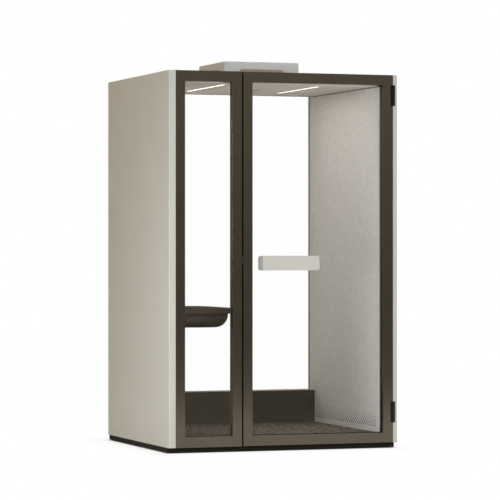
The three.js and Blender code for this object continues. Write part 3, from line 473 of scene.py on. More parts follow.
# Pale button cap, a little glossier than the plate round it.
BUTTON_PLASTIC = MouldedPlastic("pale_button_plastic", "#cbc7bf", 0.35, deep="#c4c0b8", pebble_mm=1.5)
# Extruded black rubber: dull and slightly dusty.
BLACK_RUBBER = MouldedPlastic("black_extruded_rubber", "#171512", 0.75, deep="#12110e", specular=0.25)
# Extruded glazing gasket in the tone of the profiles: dull, so that it reads as part of the reveal.
BRONZE_RUBBER = MouldedPlastic("bronze_extruded_rubber", "#3f3729", 0.8, deep="#3a3326", specular=0.15)
# The same glazing rubber painted paler for the fixed window's beads: a painted highlight along the mullion's edge.
HIGHLIT_BEAD_RUBBER = MouldedPlastic("bead_rubber_painted_highlight", "#645b4d", 0.8, deep="#5e5547", specular=0.15)
# The same gasket in the tone of the sand coat, round the rear pane.
SAND_RUBBER = MouldedPlastic("sand_extruded_rubber", "#a99b80", 0.8, deep="#a1937a", specular=0.15)
# Open-cell foam that quiets the fan: brown-grey and full of fine pores.
FILTER_FOAM = NeedledFelt("open_cell_foam", "#c3b6a4", 1.0, dark_fibre="#a59988", tuft_mm=12.0,
                          fibre_mm=4.0, relief=0.5)
# Brushed stainless steel.
BRIGHT_STEEL = BrushedSteel("brushed_stainless_steel", "#c4c3c0", 0.3)
# Clear laminated glass.
PANE_GLASS = CoatedGlass("coated_laminated_glass", "#ffffff", 0.0)
# Lit opal acrylic.
LIGHT_OPAL = OpalDiffuser("lit_opal_acrylic", "#f6f5f2", 0.5)


class Shape:
    """A mesh being modelled in its place, in metres, in the row frame."""

    def __init__(self) -> None:
        """Starts with nothing in the mesh."""
        self.bm = bmesh.new()

    def merged_copy(self, node: str) -> "Shape":
        """Takes over a solid's form, with its loose triangles joined up.

        Args:
            node: Name of the solid.

        Returns:
            This shape.
        """
        self.bm.from_mesh(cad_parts[node].data)
        bmesh.ops.remove_doubles(self.bm, verts=self.bm.verts[:], dist=0.002 * MM)
        bmesh.ops.dissolve_limit(self.bm, angle_limit=math.radians(0.4), use_dissolve_boundaries=False,
                                 verts=self.bm.verts[:], edges=self.bm.edges[:], delimit=set())
        return self

    def block(self, low: Iterable[float], high: Iterable[float]) -> list[bmesh.types.BMVert]:
        """Adds a box between two corners.

        Args:
            low: Lowest corner, in metres.
            high: Highest corner, in metres.

        Returns:
            The box's vertices.
        """
        first, last = Vector(low), Vector(high)
        place = Matrix.Translation((first + last) / 2) @ Matrix.Diagonal((*(last - first), 1.0))
        return bmesh.ops.create_cube(self.bm, size=1.0, matrix=place)["verts"]

    def soften(self, width_mm: float, segments: int = 3, sharper_than: float = 30.0) -> "Shape":
        """Rounds every edge that is sharper than an angle.

        Args:
            width_mm: Width of the rounding.
            segments: Faces across the rounding.
            sharper_than: Angle between two faces, in degrees.

        Returns:
            This shape.
        """
        limit = math.radians(sharper_than)
        edges = [e for e in self.bm.edges if e.is_manifold and e.calc_face_angle(0.0) > limit]
        return self.round_off(edges, width_mm, segments)

    def round_off(self, edges: list[bmesh.types.BMEdge], width_mm: float, segments: int) -> "Shape":
        """Rounds some edges.

        Args:
            edges: Edges to round.
            width_mm: Width of the rounding.
            segments: Faces across the rounding.

        Returns:
            This shape.
        """
        bmesh.ops.bevel(self.bm, geom=edges, offset=width_mm * MM, offset_type="OFFSET", affect="EDGES",
                        segments=segments, profile=0.5, material=-1, clamp_overlap=True)
        return self

    def paint(self, faces: Iterable[bmesh.types.BMFace], number: int) -> "Shape":
        """Gives some faces one of the piece's further finishes.

        Args:
            faces: Faces to paint.
            number: Place of the finish in the piece's list.

        Returns:
            This shape.
        """
        for face in faces:
            face.material_index = number
        return self

    def screw(self, place: Iterable[float], out: Iterable[float], radius_mm: float, height_mm: float) -> None:
        """Adds a low screw head with a hexagon socket.

        Args:
            place: Middle of the seat, in metres.
            out: Direction that the head faces.
            radius_mm: Radius of the head.
            height_mm: Height of the head over its seat.
        """
        turn = Vector((0.0, 0.0, 1.0)).rotation_difference(Vector(out)).to_matrix().to_4x4()
        seat = Matrix.Translation(Vector(place)) @ turn
        rise = Matrix.Translation((0.0, 0.0, height_mm * MM / 2))
        head = bmesh.ops.create_cone(self.bm, cap_ends=True, segments=12, radius1=radius_mm * MM,
                                     radius2=radius_mm * MM * 0.8, depth=height_mm * MM,
                                     matrix=seat @ rise)["verts"]
        axis = seat.to_3x3() @ Vector((0.0, 0.0, 1.0))
        faces = {f for v in head for f in v.link_faces}
        cap = max(faces, key=lambda f: f.calc_center_median().dot(axis))
        bmesh.ops.inset_region(self.bm, faces=[cap], thickness=radius_mm * MM * 0.35)
        sunk = bmesh.ops.extrude_discrete_faces(self.bm, faces=[cap])["faces"]
        bmesh.ops.translate(self.bm, verts=sunk[0].verts[:], vec=-axis * height_mm * MM * 0.6)

    def piece(
        self,
        name: str,
        finish: Finish,
        body: Body,
        slot: str,
        replaces: tuple[str, ...] = (),
        crease: float = 35.0,
        further: tuple[Finish, ...] = (),
    ) -> bpy.types.Object:
        """Turns the shape into a finished piece of the pod.

        Args:
            name: Name of the piece.
            finish: Its surface.
            body: Body that it moves with.
            slot: Material slot of the record; not used.
            replaces: Solids that it stands for.
            crease: Angle over which an edge stays sharp, in degrees.
            further: Finishes of faces that were painted apart.

        Returns:
            The new object.
        """
        mesh = bpy.data.meshes.new(name)
        self.bm.normal_update()
        self.bm.to_mesh(mesh)
        self.bm.free()
        for coat in (finish, *further):
            mesh.materials.append(coat.material())
        mesh.polygons.foreach_set("use_smooth", [True] * len(mesh.polygons))
        mesh.set_sharp_from_angle(angle=math.radians(crease))
        made = bpy.data.objects.new(name, mesh)
        bpy.context.scene.collection.objects.link(made)
        even = made.modifiers.new("even_shading", "WEIGHTED_NORMAL")
        even.keep_sharp = True
        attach(made, body.value)
        if replaces:
            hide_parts(*replaces)
        LOG.info("piece %s on %s, %d faces", name, body.value, len(mesh.polygons))
        return made


def glaze(opening: str, body: Body, rubber: Finish) -> None:
    """Makes the pane of an opening, with its edge sealed into the gasket, and dresses the gasket.

    Args:
        opening: Which opening, as its solids are named.
        body: Body that the pane moves with.
        rubber: Finish of the gasket and of the pane's edge behind it.
    """
    shape = Shape().merged_copy(f"{opening}_glass")
    shape.paint([f for f in shape.bm.faces if abs(f.normal.y) < 0.5], 1)
    shape.piece(f"{opening}_pane", PANE_GLASS, body, "clear_glass", (f"{opening}_glass",), further=(rubber,))
    dress(f"{opening}_gasket", rubber)


def bead(
    opening: str, left: str, right: str, body: Body, rubber: Finish, width_mm: float, depth_mm: float
) -> None:
    """Lays the glazing beads that press the pane home, one along each upright of a frame.

    Args:
        opening: Which opening, as its solids are named.
        left: Solid of the left upright.
        right: Solid of the right upright.
        body: Body that the frame belongs to.
        rubber: Finish of the beads.
        width_mm: How far a bead stands out from its upright.
        depth_mm: How far it reaches forward from the pane.
    """
    first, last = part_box(left)[1].x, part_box(right)[0].x
    foot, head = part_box(f"{opening}_bottom_rail")[1].z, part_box(f"{opening}_top_rail")[0].z
    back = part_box(f"{opening}_glass")[0].y - 0.1 * MM
    width, front = width_mm * MM, back - depth_mm * MM
    shape = Shape()
    shape.block((first + 0.05 * MM, front, foot + 0.1 * MM), (first + width, back, head - 0.1 * MM))
    shape.block((last - width, front, foot + 0.1 * MM), (last - 0.05 * MM, back, head - 0.1 * MM))
    shape.soften(1.0, 2)
    shape.piece(f"{opening}_glazing_beads", rubber, body, "black_rubber")


def dress(node: str, finish: Finish, edge_mm: float = 0.0, segments: int = 2) -> None:
    """Gives a solid its finish, and a small rounding along its edges.

    Args:
        node: Name of the solid.
        finish: Its surface.
        edge_mm: Width of the rounding; none where it is 0.
        segments: Faces across the rounding.
    """
    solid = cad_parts[node]
    for place in solid.material_slots:
        place.material = finish.material()
    if edge_mm > 0.0:
        joined = solid.modifiers.new("joined", "WELD")
        joined.merge_threshold = 0.002 * MM
        edge = solid.modifiers.new("edge", "BEVEL")
        edge.width = edge_mm * MM
        edge.segments = segments
        edge.limit_method = "ANGLE"
        edge.angle_limit = math.radians(30.0)
    LOG.info("solid %s in %s", node, finish.name)


@dataclass
class Base:
    """Plinth board on four levelling feet."""

    plinth_edge_mm: float = 1.5
    foot_edge_mm: float = 1.2

    def build(self) -> None:
        """Dresses the plinth and its feet."""
        dress("base_plinth", PLINTH_BOARD, self.plinth_edge_mm)
        for place in ("front_left", "front_right", "rear_left", "rear_right"):
            dress(f"levelling_foot_{place}", BLACK_PLASTIC, self.foot_edge_mm)


@dataclass
class SideWalls:
    """Steel skins outside, wool cores and felt linings with a band of air holes inside."""

    skin_edge_mm: float = 0.6
    hole_rows: int = 6
    row_pitch_mm: float = 13.3
    column_pitch_mm: float = 31.5
    first_row_mm: float = 127.5
    low_hole_mm: float = 11.5
    high_hole_mm: float = 5.5
    hole_sides: int = 12
    band_front_mm: float = -488.0
    band_rear_mm: float = 476.0

    def build(self) -> None:
        """Makes the skins and linings, and dresses the cores."""
        for side in Side:
            word = side.name.lower()
            skin = f"{word}_outer_skin"
            Shape().merged_copy(skin).soften(self.skin_edge_mm, 2).piece(
                f"{word}_steel_skin", SAND_STEEL, Body.CABIN, "shell_paint", (skin,))
            dress(f"{word}_wall_core", DARKENED_WOOL_CORE)
            self.lining(side, word)

    def lining(self, side: Side, word: str) -> None:
        """Makes one felt lining with its holes cut through.

        Args:
            side: Wall that it is fixed to.
            word: The wall's name.
        """
        node = f"{word}_felt_lining"
        low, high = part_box(node)
        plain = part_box("left_felt_lining")
        thick = plain[1].x - plain[0].x
        inner = low.x if side is Side.RIGHT else high.x
        shape = Shape()
        bm = shape.bm
        corners = [bm.verts.new((inner, y, z)) for y, z in
                   ((low.y, low.z), (high.y, low.z), (high.y, high.z), (low.y, high.z))]
        for i, corner in enumerate(corners):
            bm.edges.new((corner, corners[(i + 1) % 4]))
        turn = Matrix.Rotation(math.radians(90.0), 4, "Y")
        for row in range(self.hole_rows):
            share = row / (self.hole_rows - 1)
            radius = (self.low_hole_mm + (self.high_hole_mm - self.low_hole_mm) * share) / 2
            height = self.first_row_mm + row * self.row_pitch_mm
            along = self.band_front_mm + (row % 2) * self.column_pitch_mm / 2
            while along <= self.band_rear_mm:
                place = Matrix.Translation((inner, along * MM, height * MM))
                bmesh.ops.create_circle(bm, cap_ends=False, segments=self.hole_sides,
                                        radius=radius * MM, matrix=place @ turn)
                along += self.column_pitch_mm
        bmesh.ops.triangle_fill(bm, use_beauty=True, use_dissolve=False, edges=bm.edges[:])
        grown = bmesh.ops.extrude_face_region(bm, geom=bm.faces[:])["geom"]
        bmesh.ops.translate(bm, verts=[g for g in grown if isinstance(g, bmesh.types.BMVert)],
                            vec=(side.value * thick, 0.0, 0.0))
        bmesh.ops.recalc_face_normals(bm, faces=bm.faces[:])
        # The walls of the air holes take the dark felt: painted shade inside the holes.
        walls = [f for f in bm.faces if abs(f.normal.x) < 0.5 and low.z + 1.0 * MM < f.calc_center_median().z
                 < 2.0 * self.first_row_mm * MM and low.y + 1.0 * MM < f.calc_center_median().y < high.y - 1.0 * MM]
        shape.paint(walls, 1)
        if side is Side.RIGHT:
            shape.block((inner + thick - 1.0 * MM, low.y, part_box("door_bottom_rail")[1].z + 0.3 * MM),
                        (high.x, plain[0].y - 0.3 * MM, high.z))
        # The front end faces take the paler felt: painted light on the board's front edge.
        shape.paint([f for f in bm.faces if f.calc_center_median().y < low.y + 0.1 * MM], 2)
        shape.piece(f"{word}_felt_board", WALL_FELT, Body.CABIN, "wall_felt", (node,),
                    further=(HOLE_SHADE_FELT, LIGHTENED_FELT_EDGE))


@dataclass
class Floor:
    """Deck board with loop-pile carpet."""

    loop_mm: float = 7.0
    pile_relief_mm: float = 1.8

    def build(self) -> None:
        """Dresses the deck and lays the carpet."""
        dress("floor_deck", DECK_PLYWOOD)
        self.carpet()

    def carpet(self) -> None:
        """Models the carpet with the uneven top of its pile."""
        low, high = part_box("floor_carpet")
        size = high - low
        shape = Shape()
        bm = shape.bm
        middle = (low + high) / 2
        place = Matrix.Translation((middle.x, middle.y, high.z)) @ Matrix.Diagonal((size.x / 2, size.y / 2, 1.0, 1.0))
        bmesh.ops.create_grid(bm, x_segments=round(size.x / (self.loop_mm * MM)),
                              y_segments=round(size.y / (self.loop_mm * MM)), size=1.0, matrix=place)
        for vert in bm.verts:
            if not vert.is_boundary:
                tuft = 0.5 + 0.5 * noise.noise(vert.co * per_metre(2.0 * self.loop_mm))
                vert.co.z -= self.pile_relief_mm * MM * tuft
        rim = [e for e in bm.edges if e.is_boundary]
        grown = bmesh.ops.extrude_edge_only(bm, edges=rim)["geom"]
        foot = [g for g in grown if isinstance(g, bmesh.types.BMVert)]
        bmesh.ops.translate(bm, verts=foot, vec=(0.0, 0.0, -size.z))
        bmesh.ops.edgeloop_fill(bm, edges=[g for g in grown if isinstance(g, bmesh.types.BMEdge)])
        bmesh.ops.recalc_face_normals(bm, faces=bm.faces[:])
        shape.piece("carpet_tile", CARPET, Body.CABIN, "carpet", ("floor_carpet",), crease=60.0)


@dataclass
class Roof:
    """Ceiling with two light strips and an air grille, roof core and cover."""

    cover_setback_mm: float = 0.2
    cover_edge_mm: float = 0.6
    grille_radius_mm: float = 66.0
    grille_rings: int = 4
    ring_width_mm: float = 8.0
    grille_drop_mm: float = 4.0
    bar_width_mm: float = 6.0
    screw_inset_mm: float = 42.0
    screw_radius_mm: float = 6.0

    def build(self) -> None:
        """Dresses the roof and adds the grille and the screws of the cover."""
        dress("ceiling_panel", CEILING_FLEECE)
        dress("roof_core", DARKENED_WOOL_CORE)
        dress("roof_cover", ROOF_BOARD, 1.0)
        for node in ("left_light", "right_light"):
            self.diffuser(node)
        self.grille()
        self.screws()

    def diffuser(self, node: str) -> None:
        """Makes the opal cover of one light strip, which fills its slot down to the ceiling's face.

        Args:
            node: Name of the strip's solid.
        """
        low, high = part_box(node)
        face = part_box("ceiling_panel")[0].z + self.cover_setback_mm * MM
        shape = Shape()
        shape.block((low.x, low.y, face), high)
        shape.soften(self.cover_edge_mm, 2)
        shape.piece(f"{node}_cover", LIGHT_OPAL, Body.CABIN, "light_diffuser", (node,))

    def grille(self) -> None:
        """Makes the round grille under the air hole: rings on two crossed bars."""
        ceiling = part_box("ceiling_panel")[0].z
        hub = (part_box("vent_fan_frame")[0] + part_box("vent_fan_frame")[1]) / 2
        shape = Shape()
        step = self.grille_radius_mm / self.grille_rings
        for ring in range(self.grille_rings):
            outer = (self.grille_radius_mm - ring * step) * MM
            self.ring(shape, Vector((hub.x, hub.y, ceiling - self.grille_drop_mm * MM)), outer)
        half, reach = self.bar_width_mm * MM / 2, (self.grille_radius_mm - 4.0) * MM
        bottom, top = ceiling - 0.7 * self.grille_drop_mm * MM, ceiling - 0.1 * MM
        shape.block((hub.x - reach, hub.y - half, bottom), (hub.x + reach, hub.y + half, top))
        shape.block((hub.x - half, hub.y - reach, bottom), (hub.x + half, hub.y + reach, top))
        shape.soften(0.8, 2)
        shape.piece("ceiling_air_grille", GRILLE_PLASTIC, Body.CABIN, "ceiling_board")

    def ring(self, shape: Shape, place: Vector, outer: float) -> None:
        """Adds one flat ring, up to the ceiling.

        Args:
            shape: Shape to add it to.
            place: Middle of the ring's underside.
            outer: Outer radius, in metres.
        """
        bm = shape.bm
        loops = [bmesh.ops.create_circle(bm, cap_ends=False, segments=40, radius=radius,
                                         matrix=Matrix.Translation(place))["verts"]
                 for radius in (outer, outer - self.ring_width_mm * MM)]
        edges = list({e for loop in loops for v in loop for e in v.link_edges})
        faces = bmesh.ops.bridge_loops(bm, edges=edges)["faces"]
        grown = bmesh.ops.extrude_face_region(bm, geom=faces)["geom"]
        rise = (self.grille_drop_mm - 0.1) * MM
        bmesh.ops.translate(bm, verts=[g for g in grown if isinstance(g, bmesh.types.BMVert)], vec=(0.0, 0.0, rise))
        bmesh.ops.recalc_face_normals(bm, faces=bm.faces[:])

    def screws(self) -> None:
        """Sets the screws of the roof cover along its rim."""
        low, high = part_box("roof_cover")
        inset = self.screw_inset_mm * MM
        shape = Shape()
        middle = (low + high) / 2
        for x in (low.x + inset, middle.x, high.x - inset):
            for y in (low.y + 2 * inset, middle.y, high.y - 2 * inset):
                if x != middle.x or y != middle.y:
                    shape.screw((x, y, high.z), (0.0, 0.0, 1.0), self.screw_radius_mm, 2.5)
        shape.piece("roof_screws", BRIGHT_STEEL, Body.CABIN, "bright_steel")


@dataclass
class Glazing:
    """Fixed window: bronze profiles, pane and gasket."""

    profile_edge_mm: float = 0.7
    bead_width_mm: float = 3.6
    bead_depth_mm: float = 4.0

    def build(self) -> None:
        """Dresses the fixed window."""
        for node in ("fixed_left_stile", "fixed_top_rail", "fixed_bottom_rail", "mullion"):
            dress(node, BRONZE_ALUMINIUM, self.profile_edge_mm)
        glaze("fixed", Body.CABIN, BRONZE_RUBBER)
        # The fixed window's beads are in the paler rubber: painted highlight.
        bead("fixed", "fixed_left_stile", "mullion", Body.CABIN, HIGHLIT_BEAD_RUBBER, self.bead_width_mm, self.bead_depth_mm)


@dataclass
class Doorway:
    """Jamb, header and threshold with the seal, and the fixed side of hinges and catch."""

    profile_edge_mm: float = 1.0
    leaf_edge_mm: float = 0.6
    screw_radius_mm: float = 2.4
    screw_count: int = 3

    def build(self) -> None:
        """Dresses the doorway and sets the screws of the hinges."""
        for node in ("hinge_jamb", "door_header", "door_threshold"):
            dress(node, BRONZE_ALUMINIUM, self.profile_edge_mm)
        dress("door_seal", BLACK_RUBBER)
        dress("catch_magnet", BLACK_STEEL, 0.5)
        for place in ("upper", "lower"):
            dress(f"{place}_hinge_frame_leaf", BLACK_STEEL, self.leaf_edge_mm)
            dress(f"{place}_hinge_pin", BRIGHT_STEEL, 0.6)
        self.screws("frame", Body.CABIN)
        self.screws("door", Body.DOOR)

    def screws(self, part: str, body: Body) -> None:
        """Sets the screws of one leaf of both hinges.

        Args:
            part: Which leaf, by what it is fixed to.
            body: Body that the leaf moves with.
        """
        shape = Shape()
        for place in ("upper", "lower"):
            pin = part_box(f"{place}_hinge_pin")
            low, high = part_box(f"{place}_hinge_{part}_leaf")
            axis = (pin[0].x + pin[1].x) / 2
            barrel = min(axis - low.x, high.x - axis)
            middle = (axis + barrel + high.x) / 2 if part == "frame" else (low.x + axis - barrel) / 2
            face = high.y - 3.7 * MM
            for i in range(self.screw_count):
                height = low.z + (high.z - low.z) * (2 * i + 1) / (2 * self.screw_count)
                shape.screw((middle, face, height), (0.0, -1.0, 0.0), self.screw_radius_mm, 0.9)
        shape.piece(f"hinge_{part}_screws", BLACK_STEEL, body, "hinge_black")


@dataclass
class Door:
    """Glazed door with its handle, inner pull and strike."""

    profile_edge_mm: float = 0.7
    bead_width_mm: float = 3.6
    bead_depth_mm: float = 4.0
    handle_edge_mm: float = 2.2
    pull_edge_mm: float = 2.0

    def build(self) -> None:
        """Dresses the door and makes its two grips."""
        for node in ("door_lock_stile", "door_hinge_stile", "door_top_rail", "door_bottom_rail"):
            dress(node, BRONZE_ALUMINIUM, self.profile_edge_mm)
        glaze("door", Body.DOOR, BRONZE_RUBBER)
        bead("door", "door_lock_stile", "door_hinge_stile", Body.DOOR, BRONZE_RUBBER, self.bead_width_mm,
             self.bead_depth_mm)
        dress("door_catch_plate", BRIGHT_STEEL, 0.4)
        for place in ("upper", "lower"):
            dress(f"{place}_hinge_door_leaf", BLACK_STEEL, 0.6)
        Shape().merged_copy("door_handle").soften(self.handle_edge_mm, 4).piece(
            "handle_bar", GREY_CASTING, Body.DOOR, "handle_shell", ("door_handle",))
        Shape().merged_copy("door_inner_pull").soften(self.pull_edge_mm, 4).piece(
            "inner_pull_bar", GREY_CASTING, Body.DOOR, "handle_shell", ("door_inner_pull",))


@dataclass
class RearWall:
    """Glazed rear wall over a kick panel with the air intake, the mains inlet and the duct box."""

    profile_edge_mm: float = 0.7
    pin_width_mm: float = 2.0
    pin_height_mm: float = 4.0
    pin_length_mm: float = 17.0
    pin_spread_mm: float = 7.0

    def build(self) -> None:
        """Dresses the rear wall and sets the pins of the inlet."""
        for node in ("rear_left_stile", "rear_right_stile", "rear_top_rail", "rear_sill_rail"):
            dress(node, SAND_STEEL, self.profile_edge_mm)
        dress("rear_kick_panel", BRONZE_ALUMINIUM, 0.6)
        glaze("rear", Body.CABIN, SAND_RUBBER)
        dress("rear_duct_cover", DUCT_BOARD, 1.0)
        dress("power_inlet", BLACK_PLASTIC, 0.8)
        self.pins()

    def pins(self) -> None:
        """Sets three flat pins in the inlet."""
        low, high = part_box("power_inlet")
        middle = (low + high) / 2
        back = low.y + 5.0 * MM
        shape = Shape()
        for dx, dz in ((-1.0, -0.3), (0.0, 0.4), (1.0, -0.3)):
            x, z = middle.x + dx * self.pin_spread_mm * MM, middle.z + dz * self.pin_spread_mm * MM
            half, tall = self.pin_width_mm * MM / 2, self.pin_height_mm * MM / 2
            shape.block((x - half, back, z - tall), (x + half, back + self.pin_length_mm * MM, z + tall))
        shape.soften(0.4, 2)
        shape.piece("inlet_pins", BRIGHT_STEEL, Body.CABIN, "bright_steel")


@dataclass
class Ventilation:
    """Roof hood with an arched slot on each side, foam behind the slots, and the fan."""

    hood_edge_mm: float = 1.0
    foam_setback_mm: float = 14.0
    foam_thickness_mm: float = 10.0

    def build(self) -> None:
        """Makes the hood and its foam, and dresses the fan."""
        Shape().merged_copy("vent_housing").soften(self.hood_edge_mm, 2).piece(
            "roof_hood", HOOD_PLASTIC, Body.CABIN, "vent_shell", ("vent_housing",))
        dress("vent_fan_frame", BLACK_PLASTIC)
        dress("vent_fan_rotor", BLACK_PLASTIC)
        self.foam()

    def foam(self) -> None:
        """Makes the square ring of foam that stands behind the slots."""
        low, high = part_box("vent_housing")
        middle = (low + high) / 2
        outer = (high.x - low.x) / 2 - self.foam_setback_mm * MM
        shape = Shape()
        bm = shape.bm
        turn = Matrix.Translation((middle.x, middle.y, low.z + 0.2 * MM)) @ Matrix.Rotation(math.radians(45.0), 4, "Z")
        loops = [bmesh.ops.create_circle(bm, cap_ends=False, segments=4, radius=half * math.sqrt(2.0),
                                         matrix=turn)["verts"]
                 for half in (outer, outer - self.foam_thickness_mm * MM)]
        edges = list({e for loop in loops for v in loop for e in v.link_edges})
        faces = bmesh.ops.bridge_loops(bm, edges=edges)["faces"]
        grown = bmesh.ops.extrude_face_region(bm, geom=faces)["geom"]
        bmesh.ops.translate(bm, verts=[g for g in grown if isinstance(g, bmesh.types.BMVert)],
                            vec=(0.0, 0.0, high.z - low.z - 12.0 * MM))
        bmesh.ops.recalc_face_normals(bm, faces=bm.faces[:])
        shape.soften(2.0, 2)
        shape.piece("vent_foam", FILTER_FOAM, Body.CABIN, "acoustic_core")


@dataclass
class Desk:
    """Desk slab on the left wall with a moulded tray under it."""

    slab_edge_mm: float = 2.5
    tray_edge_mm: float = 1.0
    tray_corner_mm: float = 110.0
    tray_round_mm: float = 75.0

    def build(self) -> None:
        """Makes the slab with soft edges and the tray under it."""
        Shape().merged_copy("desk_top").soften(self.slab_edge_mm, 3).piece(
            "desk_slab", DESK_MELAMINE, Body.CABIN, "dark_board", ("desk_top",))
        self.tray()

    def tray(self) -> None:
        """Draws the tray with fine curves: its two corners on the user's side, then its lower edge."""
        low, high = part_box("desk_console")
        shape = Shape()
        shape.block(low, high)
        corners = [e for e in shape.bm.edges if all(v.co.x > high.x - MM for v in e.verts)
                   and abs(e.verts[0].co.z - e.verts[1].co.z) > MM]
        shape.round_off(corners, self.tray_corner_mm, 20)
        lower = [e for e in shape.bm.edges if all(v.co.z < low.z + MM for v in e.verts)
                 and any(v.co.x > low.x + MM for v in e.verts)]
        shape.round_off(lower, self.tray_round_mm, 14)
        shape.soften(self.tray_edge_mm, 2, 40.0).piece(
            "desk_tray", TRAY_PLASTIC, Body.CABIN, "dark_board", ("desk_console",))


@dataclass
class Control:
    """Control plate over the desk with its button and two charging ports."""

    port_width_mm: float = 14.0
    port_height_mm: float = 7.0
    port_rise_mm: float = 0.8
    port_places: tuple[float, ...] = (0.56, 0.76)

    def build(self) -> None:
        """Dresses plate and button and adds the ports."""
        dress("control_plate", BLACK_PLASTIC, 1.0, 3)
        dress("control_button", BUTTON_PLASTIC, 0.8, 3)
        self.ports()

    def ports(self) -> None:
        """Makes the rims of the charging ports with their dark wells."""
        low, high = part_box("control_plate")
        middle = (low.z + high.z) / 2
        shape = Shape()
        bm = shape.bm
        for share in self.port_places:
            y = low.y + (high.y - low.y) * share
            half, tall = self.port_width_mm * MM / 2, self.port_height_mm * MM / 2
            verts = shape.block((high.x - 0.1 * MM, y - half, middle - tall),
                                (high.x + self.port_rise_mm * MM, y + half, middle + tall))
            front = max({f for v in verts for f in v.link_faces}, key=lambda f: f.calc_center_median().x)
            bmesh.ops.inset_region(bm, faces=[front], thickness=1.5 * MM)
            sunk = bmesh.ops.extrude_discrete_faces(bm, faces=[front])["faces"]
            bmesh.ops.translate(bm, verts=sunk[0].verts[:], vec=(-0.7 * MM, 0.0, 0.0))
        shape.soften(0.3, 2)
        shape.piece("charging_ports", BRIGHT_STEEL, Body.CABIN, "bright_steel")


@dataclass(frozen=True)
class Softbox:
    """A soft lamp that gives light and isn't seen itself."""

    name: str
    place: tuple[float, float, float]
    target: tuple[float, float, float]
    size: tuple[float, float]
    power: float
    colour: str
    spread: float = 180.0

    def hang(self) -> None:
        """Hangs the lamp and turns it to its target."""
        lamp = bpy.data.lights.new(self.name, "AREA")
        lamp.shape = "RECTANGLE"
        lamp.size, lamp.size_y = self.size
        lamp.energy = self.power
        lamp.color = linear(self.colour)[:3]
        lamp.spread = math.radians(self.spread)
        made = bpy.data.objects.new(self.name, lamp)
        made.location = self.place
        made.rotation_euler = (Vector(self.target) - Vector(self.place)).to_track_quat("-Z", "Y").to_euler()
        made.visible_camera = False
        made.visible_glossy = False
        made.visible_transmission = False
        bpy.context.scene.collection.objects.link(made)
        LOG.info("lamp %s of %.0f W", self.name, self.power)


